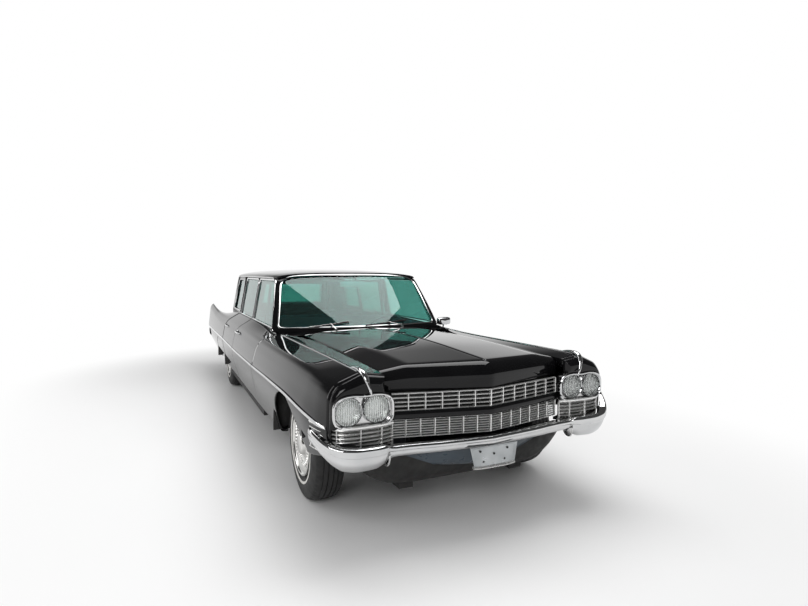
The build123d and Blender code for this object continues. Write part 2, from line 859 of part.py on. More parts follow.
def grille():
    """The upper and lower grilles: level bars that follow a vee, crossed by upright bars."""
    slope = (lamp_line - grille_line) / grille_half
    rows = ((upper_bars, split_top, grille_top), (lower_bars, grille_low, split_low))
    with BuildPart() as bars:
        for count, low, high in rows:
            for i in range(count):
                height = low + (high - grille_bar - low) * i / (count - 1)
                extrude(vee_strip(height, grille_half, grille_depth, 0), amount=grille_bar)
            for i in range(-grille_cells, grille_cells + 1):
                out = i * (grille_half - grille_bar / 2) / grille_cells
                line = grille_line + slope * abs(out)
                block((out - grille_bar / 2, out + grille_bar / 2),
                      (line + grille_bar, line + grille_depth + grille_bar), (low, high))
    save(bars, "grille")


def lamp_bezels():
    """The chrome housings around each pair of headlamps."""
    middle = (lamp_outer + lamp_inner) / 2
    length = lamp_outer - lamp_inner + 2 * (lamp_radius + bezel_wall)
    with BuildPart() as bezels:
        with BuildSketch(across(lamp_line)) as face:
            with Locations((middle, lamp_height)):
                SlotOverall(length, 2 * (lamp_radius + bezel_wall))
            with Locations((lamp_outer, lamp_height), (lamp_inner, lamp_height)):
                Circle(lamp_radius + seat_gap, mode=Mode.SUBTRACT)
        extrude(face.sketch, amount=lamp_depth)
        wide = (grille_half + panel_gap, rib_out)
        for i in range(rib_count):
            height = rib_low + (rib_top - grille_bar - rib_low) * i / (rib_count - 1)
            block(wide, (lamp_line - lamp_depth, lamp_line), (height, height + grille_bar))
        block(wide, (lamp_line - lamp_depth / 2, lamp_line), (rib_low, rib_top))
        mirror(about=Plane.YZ)
    save(bezels, "lamp_bezels")


def headlamps():
    """The four round headlamps with domed lenses."""
    with BuildPart() as lamps:
        with BuildSketch(across(lamp_line)) as face:
            with Locations((lamp_outer, lamp_height), (lamp_inner, lamp_height)):
                Circle(lamp_radius)
        extrude(face.sketch, amount=lamp_depth)
        fillet(edges().group_by(Axis.Y)[0], radius=bezel_wall)
        mirror(about=Plane.YZ)
    save(lamps, "headlamps")


def tail_lamps():
    """The slim upright tail lamps at the fins' ends."""
    shoulder = side_at(tail_line)[2]
    with BuildPart() as lamps:
        block((shoulder[0] - lamp_depth, shoulder[0]), (tail_line, tail_line + lamp_depth),
              (split_top, shoulder[1] - lamp_depth))
        mirror(about=Plane.YZ)
    save(lamps, "tail_lamps")


def bumper_faces(rows, sign):
    """A bumper shell lofted outward from the middle through its rows of sections."""
    faces = []
    for out, along, back, low, high in rows:
        face_line = place(along)
        back_line = place(back)
        up, down = high * belt_height, low * belt_height
        points = [(back_line, up), (face_line, up), (face_line, down), (back_line, down)]
        if sign < 0:
            points.reverse()
        radii = (0, bumper_radius, bumper_radius)
        faces.append(wall_face(Plane.YZ.offset(out * half_width), points, bumper_wall, radii))
    return faces


def front_bumper():
    """The front bumper with its pods and the bracket for a number plate."""
    with BuildPart() as bumper:
        loft(bumper_faces(front_bumper_shares, 1), ruled=True)
        front = -half_length
        foot = place(frame_shares[0])
        outs = (front_rail_out - iron_width / 2, front_rail_out + iron_width / 2)
        reach = place(front_bumper_shares[1][1]) - bumper_wall * 2
        block(outs, (reach, foot + iron_width), (iron_low, iron_low + iron_width))
        block(outs, (foot, foot + iron_width), (floor_height, iron_low + iron_width))
        mirror(about=Plane.YZ)
        block((-plate_half, plate_half), (front, front + bumper_depth / 2), (plate_low, plate_top))
        for out in (-plate_hole_spacing / 2, plate_hole_spacing / 2):
            rod((out, front - overrun, plate_hole_height), (out, front + overrun, plate_hole_height),
                plate_hole_radius, Mode.SUBTRACT)
    save(bumper, "front_bumper")


def rear_bumper():
    """The rear bumper with its upright ends."""
    with BuildPart() as bumper:
        loft(bumper_faces(rear_bumper_shares, -1), ruled=True)
        foot = place(frame_shares[5])
        outs = (rear_rail_out - iron_width / 2, rear_rail_out + iron_width / 2)
        block(outs, (foot, half_length - bumper_wall / 2), (iron_low, iron_low + iron_width))
        mirror(about=Plane.YZ)
    save(bumper, "rear_bumper")


# Chassis


def underside(shares, low_up):
    """The floor's stepped underside from front to rear, as (along, up)."""
    heights = (floor_height, floor_height, kick_height, kick_height, trunk_height, trunk_height)
    return [(place(share), up - low_up) for share, up in zip(shares, heights)]


def chassis_frame():
    """The X-shaped frame, narrow in the middle and stepped over the rear axle."""
    line = underside(floor_shares, 0)
    line[0] = (place(frame_shares[0]), floor_height)
    side = [*line, *[(along, up - rail_depth) for along, up in reversed(line)]]
    outs = (front_rail_out, front_rail_out, narrow_out, narrow_out, rear_rail_out, rear_rail_out)
    plan = [(out, place(share)) for out, share in zip(outs, frame_shares)]
    width = rail_width / 2
    rail = [*[(out + width, along) for out, along in plan],
            *[(out - width, along) for out, along in reversed(plan)]]
    with BuildPart() as frame:
        extrude(outline(Plane.XY, rail), amount=belt_height)
        block((0, narrow_out), (plan[2][1], plan[3][1]), (0, floor_height))
        mirror(about=Plane.YZ)
        extrude(outline(Plane.YZ.offset(-half_width), side), amount=overall_width, mode=Mode.INTERSECT)
        inner = front_rail_out - width
        low = floor_height - rail_depth
        block((-inner, inner), (front_axle - rail_width, front_axle + rail_width), (low, floor_height))
        inner = rear_rail_out - width
        end = plan[5][1]
        block((-inner, inner), (end - rail_width, end), (trunk_height - rail_depth, trunk_height))
    save(frame, "chassis_frame")


def floor_pan():
    """The floor, stepped over the rear axle, with the sills below the doors."""
    line = underside(floor_shares, 0)
    line[0] = (cowl_line, floor_height)
    line[-1] = (tail_line - apron_wall, trunk_height)
    side = [*line, *[(along, up + floor_thick) for along, up in reversed(line)]]
    top = floor_height + floor_thick
    with BuildPart() as floor:
        extrude(outline(Plane.YZ.offset(-floor_half), side), amount=floor_half * 2)
        block((-rear_apron_out - overrun, -rear_apron_out), (quarter_line, tail_line),
              (floor_height + floor_thick, belt_height), Mode.SUBTRACT)
        block((rear_apron_out, rear_apron_out + overrun), (quarter_line, tail_line),
              (floor_height + floor_thick, belt_height), Mode.SUBTRACT)
        for sign in (-1, 1):
            outs = sorted((sign * (floor_half - skin), sign * sill_out))
            block(tuple(outs), (cowl_line, quarter_line - panel_gap), (top - sill_height, top))
    save(floor, "floor_pan")


def engine_block():
    """The engine and gearbox as plain blocks at their real place."""
    low = floor_height
    with BuildPart() as engine:
        block((-engine_half, engine_half), (engine_front, engine_rear), (low, engine_top))
        block((-narrow_out, narrow_out), (engine_rear, cowl_line + overrun), (low - rail_depth, low - skin))
        block((-narrow_out, narrow_out), (engine_rear - overrun, engine_rear), (low - rail_depth, low))
    save(engine, "engine_block")


def front_suspension():
    """The front arms with the kingpins that the knuckles turn on."""
    low = wheel_height - knuckle_height / 2 - arm_thick - seat_gap
    high = wheel_height + knuckle_height / 2 + seat_gap
    inner = front_rail_out + rail_width / 2
    with BuildPart() as arms:
        for up in (low, high):
            block((inner, kingpin_out), (front_axle - arm_width / 2, front_axle + arm_width / 2),
                  (up, up + arm_thick))
            with BuildSketch(Plane.XY.offset(up)) as eye:
                with Locations((kingpin_out, front_axle)):
                    Circle(arm_width / 2)
            extrude(eye.sketch, amount=arm_thick)
        rod((kingpin_out, front_axle, low), (kingpin_out, front_axle, high + arm_thick), kingpin_radius)
        tower = front_rail_out - rail_width / 2
        block((tower, inner), (front_axle - arm_width / 2, front_axle + arm_width / 2),
              (floor_height, high + arm_thick))
        mirror(about=Plane.YZ)
    save(arms, "front_suspension")


def knuckle(node, sign):
    """A steering knuckle with its kingpin bore and wheel spindle."""
    low = wheel_height - knuckle_height / 2
    half = knuckle_width / 2
    centre = sign * kingpin_out
    end = sign * (wheel_out + spindle_reach)
    with BuildPart() as piece:
        block((centre - half, centre + half), (front_axle - half, front_axle + half),
              (low, low + knuckle_height))
        rod((centre, front_axle, wheel_height), (end, front_axle, wheel_height), spindle_radius)
        rod((centre, front_axle, low - arm_thick), (centre, front_axle, low + knuckle_height + arm_thick),
            kingpin_radius + running_gap, Mode.SUBTRACT)
    save(piece, node)


def rear_axle():
    """The rear axle with its differential, spindles, control arms and the drive shaft."""
    tube_end = wheel_out - disc_space
    end = wheel_out + spindle_reach
    with BuildPart() as axle:
        rod((-tube_end, rear_axle_at, wheel_height), (tube_end, rear_axle_at, wheel_height), axle_radius)
        rod((-end, rear_axle_at, wheel_height), (end, rear_axle_at, wheel_height), spindle_radius)
        with Locations((0, rear_axle_at, wheel_height)):
            Sphere(axle_radius * 3)
        rod((0, shaft_front, shaft_low), (0, rear_axle_at, wheel_height), shaft_radius)
        for out in (-rear_rail_out, rear_rail_out):
            rod((out, rear_axle_at, wheel_height), (out, rear_axle_at, kick_height - rail_depth),
                spring_radius)
    save(axle, "rear_axle")


def exhaust():
    """The two exhaust pipes with their silencers, from the engine to the tail."""
    low = floor_height - pipe_radius * 2
    high = floor_height + pipe_radius + panel_gap * 2
    step, ledge, drop, behind = (place(share) for share in floor_shares[1:5])
    over = kick_height - pipe_radius * 5
    under = trunk_height - pipe_radius * 4
    side = engine_rear - overrun / 2
    route = [(engine_half, side, high), (pipe_out, side, high),
             (pipe_out, hood_line, low), (pipe_out, step, low), (pipe_out, ledge, over),
             (pipe_out, drop, over), (pipe_out, behind, under), (pipe_out, tail_line, under)]
    with BuildPart() as pipes:
        for start, end in zip(route, route[1:]):
            rod(start, end, pipe_radius)
            if end != route[-1]:
                with Locations(end):
                    Sphere(pipe_radius)
        half = silencer_width / 2
        block((pipe_out - half, pipe_out + half), (hood_line + overrun * 2, post_line),
              (low - pipe_radius * 2, floor_height - seat_gap))
        mirror(about=Plane.YZ)
    save(pipes, "exhaust")


def fuel_tank():
    """The fuel tank below the trunk floor."""
    half = rear_rail_out - rail_width / 2 - skin
    front = rear_axle_at + rear_arch_radius + overrun
    rear = place(frame_shares[5]) - rail_width * 2
    with BuildPart() as tank:
        block((-half, half), (front, rear), (trunk_height - tank_depth, trunk_height))
        fillet(edges().filter_by(Axis.X), radius=tank_radius)
    save(tank, "fuel_tank")


def tyre(node, sign, axle):
    """A tyre, revolved from half of its section with rounded shoulders."""
    low = rim_diameter / 2 + tyre_seat
    high = tyre_diameter / 2
    half = tyre_width / 2
    deep = high - low
    lip = rim_diameter / 2 + rim_lip + tyre_seat
    bead = rim_width / 2 - rim_wall - tyre_seat
    shoulder = half * shoulder_out_share
    rise = low + deep * shoulder_up_share
    tread = half * tread_share
    with BuildPart() as piece:
        with BuildSketch(Plane(origin=(sign * wheel_out, axle, wheel_height), x_dir=(1, 0, 0),
                               z_dir=(0, -1, 0))) as section:
            with BuildLine():
                Polyline((-bead, low), (bead, low), (bead, lip), (half, low + deep * bulge_share),
                         (shoulder, rise), (tread, high), (-tread, high), (-shoulder, rise),
                         (-half, low + deep * bulge_share), (-bead, lip), close=True)
            make_face()
        revolve(section.sketch, axis=Axis((0, axle, wheel_height), (1, 0, 0)))
    save(piece, node)


def wheel(node, sign, axle):
    """A wheel: rim barrel, disc and hub, revolved, with a bore for its spindle."""
    barrel = rim_diameter / 2
    half = rim_width / 2
    bore = spindle_radius + running_gap
    with BuildPart() as piece:
        with BuildSketch(Plane(origin=(sign * wheel_out, axle, wheel_height), x_dir=(sign, 0, 0),
                               z_dir=(0, -sign, 0))) as section:
            with BuildLine():
                Polyline((-half, barrel + rim_lip), (-half, barrel - rim_wall), (disc_wall, barrel - rim_wall),
                         (disc_wall, hub_radius), (spindle_reach - disc_space, hub_radius),
                         (spindle_reach - disc_space, bore), (spindle_reach + disc_wall, bore),
                         (spindle_reach + disc_wall, hub_radius), (disc_wall * 2, barrel - rim_wall),
                         (half, barrel - rim_wall), (half, barrel + rim_lip),
                         (half - rim_wall, barrel + rim_lip), (half - rim_wall, barrel),
                         (rim_wall - half, barrel), (rim_wall - half, barrel + rim_lip), close=True)
            make_face()
        revolve(section.sketch, axis=Axis((0, axle, wheel_height), (1, 0, 0)))
    save(piece, node)


# Cabin


def dashboard():
    """The dashboard across the firewall."""
    front = cowl_line + skin
    with BuildPart() as dash:
        side = [(front, dash_low), (dash_line, dash_low), (dash_line, cowl_height - frame_thick * 2),
                (dash_line - frame_thick, cowl_height - skin), (front, cowl_height - skin)]
        face = rounded(Plane.YZ.offset(skin - floor_half), side, (0, dash_radius, dash_radius, 0, 0))
        extrude(face, amount=(floor_half - skin) * 2)
    save(dash, "dashboard")


def steering_wheel():
    """The steering wheel on its column."""
    centre = (driver_out, dash_line + column_reach, seat_top + wheel_rise)
    lean = Vector(0, column_reach, column_lean)
    foot = Vector(*centre) - lean * 2
    hub = Plane(origin=centre, z_dir=lean)
    with BuildPart() as steering:
        with Locations(hub):
            Torus(wheel_rim_radius, wheel_rim_thick)
        with BuildSketch(hub) as ring:
            Rectangle(wheel_rim_radius * 2, wheel_rim_thick * 3)
            Circle(hub_radius)
        extrude(ring.sketch, amount=wheel_rim_thick / 2, both=True)
        rod(tuple(foot), centre, spindle_radius)
        block((driver_out - overrun, driver_out + overrun), (cowl_line - overrun, dash_line),
              (dash_low - overrun, belt_height), Mode.SUBTRACT)
    save(steering, "steering_wheel")


def front_seat():
    """The front bench seat."""
    low = floor_height + floor_thick
    rear = division_line - seat_gap
    back = rear - seat_back_thick
    fold = rear - seat_back_thick * cushion_gap_share
    side = [(rear - seat_long, low), (rear, low), (rear, seat_back_top), (back, seat_back_top),
            (fold, seat_top), (rear - seat_long, seat_top)]
    radii = (0, 0, seat_radius, seat_radius, 0, seat_radius)
    with BuildPart() as seat:
        extrude(rounded(Plane.YZ.offset(-seat_half), side, radii), amount=seat_half * 2)
    save(seat, "front_seat")


def rear_seat():
    """The rear bench seat, shaped over the step in the floor."""
    low = floor_height + floor_thick
    kick = kick_height + floor_thick
    step, ledge = (place(share) for share in floor_shares[1:3])
    front = step - seat_radius
    rear = ledge + seat_long * rear_cushion_share
    back = rear - seat_back_thick
    fold = rear - seat_back_thick * cushion_gap_share
    top = max(seat_top, kick + skin)
    side = [(front, low), (step, low), (ledge, kick), (rear, kick), (rear, seat_back_top),
            (back, seat_back_top), (fold, top), (front, top)]
    radii = (0, 0, 0, 0, seat_radius, seat_radius, 0, seat_radius)
    half = rear_apron_out - apron_wall - seat_gap
    with BuildPart() as seat:
        extrude(rounded(Plane.YZ.offset(-half), side, radii), amount=half * 2)
    save(seat, "rear_seat")


def division_outline(inside):
    """The division's outline, or the opening above its wall that lies inside it."""
    half = seat_half - frame_width - inside
    high = rail_height - frame_width - inside
    top_out = rail_out - frame_thick * 3 - inside
    window = [(half, belt_line), (top_out, high), (-top_out, high), (-half, belt_line)]
    low = floor_height + floor_thick
    return window if inside else [(-half, low), (half, low), *window]


def division():
    """The division behind the front seat: a lower wall and a window frame with a middle bar."""
    with BuildPart() as wall:
        extrude(outline(across(division_line), division_outline(0)), amount=-division_thick)
        extrude(outline(across(division_line), division_outline(frame_width)), amount=-division_thick,
                mode=Mode.SUBTRACT)
        block((-frame_width / 2, frame_width / 2), (division_line, division_line + division_thick),
              (belt_line - frame_width, rail_height - frame_width * 3 / 2))
    save(wall, "division")


def door_mirror(front_door):
    """The driver's door mirror on its foot."""
    with BuildPart() as mirror_part:
        with BuildSketch(across(mirror_line)) as head:
            with Locations((mirror_in + mirror_wide / 2, belt_line - mirror_drop + mirror_tall / 2)):
                RectangleRounded(mirror_wide, mirror_tall, mirror_foot)
        extrude(head.sketch, amount=-mirror_deep)
        rod((mirror_in + mirror_deep, mirror_line + mirror_deep / 2, belt_line - mirror_drop),
            (mirror_in + mirror_deep, mirror_line + mirror_deep / 2, belt_line - mirror_drop * 3),
            mirror_foot)
        add(front_door.part, mode=Mode.SUBTRACT)
    save(mirror_part, "door_mirror")


os.makedirs("parts", exist_ok=True)
front_fenders()
rear_quarters()
rear_skirts()
save(hood_shell(hood_skin), "hood")
save(lid_shell(skin), "trunk_lid")
tail_panel()
cowl()
doors()
windshield()
roof()
cabin_glass()
centre_pillars()
grille()
lamp_bezels()
headlamps()
tail_lamps()
front_bumper()
rear_bumper()
chassis_frame()
floor_pan()
engine_block()
front_suspension()
rear_axle()
exhaust()
fuel_tank()
dashboard()
steering_wheel()
front_seat()
rear_seat()
division()
for side_name, side_sign in (("left", 1), ("right", -1)):
    knuckle(f"knuckle_{side_name}", side_sign)
    for end_name, axle_at in (("front", front_axle), ("rear", rear_axle_at)):
        tyre(f"tyre_{end_name}_{side_name}", side_sign, axle_at)
        wheel(f"wheel_{end_name}_{side_name}", side_sign, axle_at)
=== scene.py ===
import math
import bmesh
import bpy
import numpy as np
from mathutils import Matrix, Vector


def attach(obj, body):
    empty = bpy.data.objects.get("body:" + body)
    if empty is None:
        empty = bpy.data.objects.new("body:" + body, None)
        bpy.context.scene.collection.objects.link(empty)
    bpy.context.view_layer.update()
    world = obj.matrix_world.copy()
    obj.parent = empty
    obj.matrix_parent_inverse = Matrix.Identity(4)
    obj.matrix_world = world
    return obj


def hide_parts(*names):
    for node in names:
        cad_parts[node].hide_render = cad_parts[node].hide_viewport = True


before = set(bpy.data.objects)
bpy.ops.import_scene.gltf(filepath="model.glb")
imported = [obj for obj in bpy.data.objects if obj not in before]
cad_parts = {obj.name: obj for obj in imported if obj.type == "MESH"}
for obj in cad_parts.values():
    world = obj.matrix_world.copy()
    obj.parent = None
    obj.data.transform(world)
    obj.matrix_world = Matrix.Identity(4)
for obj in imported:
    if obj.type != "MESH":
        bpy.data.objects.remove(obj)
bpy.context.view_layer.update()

print("stage: frame loaded")


# Mesh helpers

def makeMesh(name, points, faces, smooth=True):
    mesh = bpy.data.meshes.new(name)
    mesh.from_pydata(np.asarray(points, float).reshape(-1, 3).tolist(), [], faces)
    mesh.polygons.foreach_set("use_smooth", np.full(len(mesh.polygons), smooth))
    mesh.update()
    return mesh


# A grid surface: point (i, j) of the array joins its neighbours (i+1, j) and (i, j+1) in quads.
def gridFaces(rows, cols, wrapCols=False, wrapRows=False, start=0):
    index = np.arange(rows * cols).reshape(rows, cols) + start
    if wrapCols:
        index = np.concatenate([index, index[:, :1]], axis=1)
    if wrapRows:
        index = np.concatenate([index, index[:1]], axis=0)
    return np.stack([index[:-1, :-1], index[1:, :-1], index[1:, 1:], index[:-1, 1:]],
                    -1).reshape(-1, 4).tolist()


def gridMesh(name, points, wrapCols=False, wrapRows=False, capRows=False, smooth=True, drop=None):
    rows, cols = points.shape[:2]
    faces = gridFaces(rows, cols, wrapCols, wrapRows)
    if drop is not None:
        faces = [face for face, gone in zip(faces, drop.reshape(-1)) if not gone]
    if capRows:
        faces.append(list(range(cols)))
        faces.append(list(range((rows - 1) * cols, rows * cols))[::-1])
    return makeMesh(name, points, faces, smooth)


def gridPoints(x, y, z):
    return np.stack(np.broadcast_arrays(x, y, z), -1)


mergeGap = 0.00005


def cleanMesh(mesh, merge=mergeGap):
    work = bmesh.new()
    work.from_mesh(mesh)
    bmesh.ops.remove_doubles(work, verts=work.verts, dist=merge)
    bmesh.ops.recalc_face_normals(work, faces=work.faces)
    work.to_mesh(mesh)
    work.free()
    return mesh


# A shell's faces are turned as one, so that on the whole they look along a direction.
def faceToward(mesh, direction):
    area, normal = np.empty(len(mesh.polygons)), np.empty(len(mesh.polygons) * 3)
    mesh.polygons.foreach_get("area", area)
    mesh.polygons.foreach_get("normal", normal)
    if area @ normal.reshape(-1, 3) @ np.asarray(direction, float) < 0:
        mesh.flip_normals()
    return mesh


# Several meshes in one, kept as they are.
def joinMeshes(name, meshes, smooth=True):
    points, faces, start = [], [], 0
    for mesh in meshes:
        co = np.empty(len(mesh.vertices) * 3)
        mesh.vertices.foreach_get("co", co)
        points.append(co.reshape(-1, 3))
        faces += [[start + v for v in face.vertices] for face in mesh.polygons]
        start += len(co) // 3
    return makeMesh(name, np.concatenate(points), faces, smooth)


def mirrorMesh(mesh, name):
    points = np.empty(len(mesh.vertices) * 3)
    mesh.vertices.foreach_get("co", points)
    points = points.reshape(-1, 3) * (-1, 1, 1)
    smooth = len(mesh.polygons) > 0 and mesh.polygons[0].use_smooth
    return makeMesh(name, points, [list(face.vertices)[::-1] for face in mesh.polygons], smooth)


# One finished piece: its mesh, material, body and, where it stands for CAD nodes, their names.
def addPiece(name, mesh, material, body="root", stands=(), thick=0.0, offset=-1.0, bevel=0.0, sharp=35,
             slot=None, even=True):
    piece = bpy.data.objects.new(name, mesh)
    bpy.context.scene.collection.objects.link(piece)
    for one in material if isinstance(material, (list, tuple)) else [material]:
        mesh.materials.append(one)
    if thick:
        wall = piece.modifiers.new("wall", "SOLIDIFY")
        wall.thickness = thick
        wall.offset = offset
        wall.use_even_offset = even
    if bevel:
        edge = piece.modifiers.new("edge", "BEVEL")
        edge.width = bevel
        edge.segments = 2
        edge.limit_method = "ANGLE"
        edge.angle_limit = math.radians(sharp)
        edge.harden_normals = False
    if sharp:
        mesh.set_sharp_from_angle(angle=math.radians(sharp))
    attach(piece, body)
    if stands:
        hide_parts(*stands)
    return piece


# Left and right copies of one mesh that was made for the car's left side, at +x.
def addPair(name, mesh, material, bodies=("root", "root"), stands=((), ()), **more):
    other = mirrorMesh(mesh, f"{name}Right")
    mesh.name = f"{name}Left"
    return (addPiece(f"{name}Left", mesh, material, bodies[0], stands[0], **more),
            addPiece(f"{name}Right", other, material, bodies[1], stands[1], **more))


# Curves through a table: monotone cubic steps, slopes by the harmonic mean of the neighbouring ones.
def smoothRow(at, xs, ys):
    xs, ys, at = np.asarray(xs, float), np.asarray(ys, float), np.asarray(at, float)
    step = np.diff(xs)
    slope = np.diff(ys) / step
    same = slope[:-1] * slope[1:] > 0
    mean = np.where(same, 2 * slope[:-1] * slope[1:] / np.where(same, slope[:-1] + slope[1:], 1), 0)
    tangent = np.concatenate([[slope[0]], mean, [slope[-1]]])
    k = np.clip(np.searchsorted(xs, at) - 1, 0, len(xs) - 2)
    t = np.clip((at - xs[k]) / step[k], 0, 1)
    return (ys[k] * (1 + 2 * t) * (1 - t) ** 2 + tangent[k] * step[k] * t * (1 - t) ** 2
            + ys[k + 1] * t * t * (3 - 2 * t) + tangent[k + 1] * step[k] * t * t * (t - 1))


# A polyline with rounded corners: each corner P becomes (1-s)^2 A + 2s(1-s) P + s^2 B, with A and B on its
# two runs.
def roundedPath(points, reach, steps=8, runSteps=3, closed=False):
    points = np.asarray(points, float)
    count = points.shape[-2]
    reach = np.broadcast_to(reach, (count,))
    before = np.roll(points, 1, axis=-2)
    after = np.roll(points, -1, axis=-2)
    toBefore, toAfter = before - points, after - points
    lengthBefore = np.linalg.norm(toBefore, axis=-1, keepdims=True)
    lengthAfter = np.linalg.norm(toAfter, axis=-1, keepdims=True)
    r = reach[:, None]
    a = points + toBefore / np.maximum(lengthBefore, 1e-9) * np.minimum(r, lengthBefore * 0.49)
    b = points + toAfter / np.maximum(lengthAfter, 1e-9) * np.minimum(r, lengthAfter * 0.49)
    if not closed:
        a[..., 0, :] = b[..., 0, :] = points[..., 0, :]
        a[..., -1, :] = b[..., -1, :] = points[..., -1, :]
    s = np.linspace(0, 1, steps)[:, None]
    parts = []
    for k in range(count):
        if not closed and k in (0, count - 1):
            parts.append(points[..., k:k + 1, :])
        else:
            pa, pp, pb = a[..., k:k + 1, :], points[..., k:k + 1, :], b[..., k:k + 1, :]
            parts.append((1 - s) ** 2 * pa + 2 * s * (1 - s) * pp + s * s * pb)
        if closed or k < count - 1:
            nextA = a[..., (k + 1) % count, :][..., None, :]
            run = np.linspace(0, 1, runSteps + 2)[1:-1, None]
            parts.append(b[..., k:k + 1, :] * (1 - run) + nextA * run)
    return np.concatenate(parts, axis=-2)


# Evenly spaced points along a path, whole arrays at once: cumulative length, then linear steps between
# neighbours.
def evenPath(points, count, start=0.0, end=1.0):
    points = np.asarray(points, float)
    length = np.concatenate([[0], np.cumsum(np.linalg.norm(np.diff(points, axis=0), axis=1))])
    at = np.linspace(start, end, count) * length[-1]
    return np.stack([np.interp(at, length, points[:, k]) for k in range(points.shape[1])], 1)


# A profile carried along a path: centre(i) + across(j) * side(i) + up(j) * lift(i), side = tangent x lift.
def sweep(path, profile, lift=(0, 0, 1), closed=False, taper=None):
    path, profile = np.asarray(path, float), np.asarray(profile, float)
    if closed:
        tangent = np.roll(path, -1, 0) - np.roll(path, 1, 0)
    else:
        tangent = np.gradient(path, axis=0)
    tangent /= np.linalg.norm(tangent, axis=1, keepdims=True)
    lift = np.broadcast_to(np.asarray(lift, float), path.shape)
    side = np.cross(tangent, lift)
    side /= np.linalg.norm(side, axis=1, keepdims=True)
    up = np.cross(side, tangent)
    size = np.ones(len(path)) if taper is None else np.asarray(taper, float)
    scaled = profile[None] * size[:, None, None]
    return path[:, None] + scaled[:, :, :1] * side[:, None] + scaled[:, :, 1:] * up[:, None]


def sweepMesh(name, path, profile, lift=(0, 0, 1), closed=False, smooth=True, taper=None):
    grid = sweep(path, profile, lift, closed, taper)
    return cleanMesh(gridMesh(name, grid, wrapCols=True, wrapRows=closed, capRows=not closed, smooth=smooth))


# A circle or rounded bar as a profile: (a cos t, b sin t), squared up by the power.
def barProfile(wide, high, count=12, square=1.0):
    t = np.linspace(0, 2 * math.pi, count, endpoint=False)
    c, s = np.cos(t), np.sin(t)
    return np.stack([wide / 2 * np.sign(c) * np.abs(c) ** square,
                     high / 2 * np.sign(s) * np.abs(s) ** square], 1)


# A profile turned about an axis along x: (x + a, y + r sin t, z + r cos t) for each (a, r) of the profile.
def turned(profile, centre, count=96, sign=1):
    profile = np.asarray(profile, float)
    t = np.linspace(0, 2 * math.pi, count, endpoint=False)[:, None]
    a, r = profile[None, :, 0], profile[None, :, 1]
    return np.stack([centre[0] + sign * a + 0 * t, centre[1] + r * np.sin(t), centre[2] + r * np.cos(t)], -1)


# Materials

def newMaterial(name):
    material = bpy.data.materials.new(name)
    material.use_nodes = True
    tree = material.node_tree
    shader = next(node for node in tree.nodes if node.type == "BSDF_PRINCIPLED")
    return material, tree, shader


def noiseGroup():
    group = bpy.data.node_groups.new("surfaceNoise", "ShaderNodeTree")
    for label, kind, value in (("Scale", "NodeSocketFloat", 20.0), ("Stretch", "NodeSocketVector", (1, 1, 1)),
                               ("Detail", "NodeSocketFloat", 3.0), ("Low", "NodeSocketFloat", 0.0),
                               ("High", "NodeSocketFloat", 1.0)):
        socket = group.interface.new_socket(name=label, in_out="INPUT", socket_type=kind)
        socket.default_value = value
    group.interface.new_socket(name="Value", in_out="OUTPUT", socket_type="NodeSocketFloat")
    nodes, links = group.nodes, group.links
    source, sink = nodes.new("NodeGroupInput"), nodes.new("NodeGroupOutput")
    place = nodes.new("ShaderNodeTexCoord")
    stretch = nodes.new("ShaderNodeVectorMath")
    stretch.operation = "MULTIPLY"
    noise = nodes.new("ShaderNodeTexNoise")
    spread = nodes.new("ShaderNodeMapRange")
    links.new(place.outputs["Object"], stretch.inputs[0])
    links.new(source.outputs["Stretch"], stretch.inputs[1])
    links.new(stretch.outputs[0], noise.inputs["Vector"])
    links.new(source.outputs["Scale"], noise.inputs["Scale"])
    links.new(source.outputs["Detail"], noise.inputs["Detail"])
    spread.inputs["From Min"].default_value = 0.3
    spread.inputs["From Max"].default_value = 0.7
    links.new(noise.outputs["Fac"], spread.inputs["Value"])
    links.new(source.outputs["Low"], spread.inputs["To Min"])
    links.new(source.outputs["High"], spread.inputs["To Max"])
    links.new(spread.outputs["Result"], sink.inputs["Value"])
    return group


surfaceNoise = noiseGroup()


def addNoise(tree, scale, low, high, detail=3.0, stretch=(1, 1, 1)):
    node = tree.nodes.new("ShaderNodeGroup")
    node.node_tree = surfaceNoise
    node.inputs["Scale"].default_value = scale
    node.inputs["Stretch"].default_value = stretch
    node.inputs["Detail"].default_value = detail
    node.inputs["Low"].default_value = low
    node.inputs["High"].default_value = high
    return node


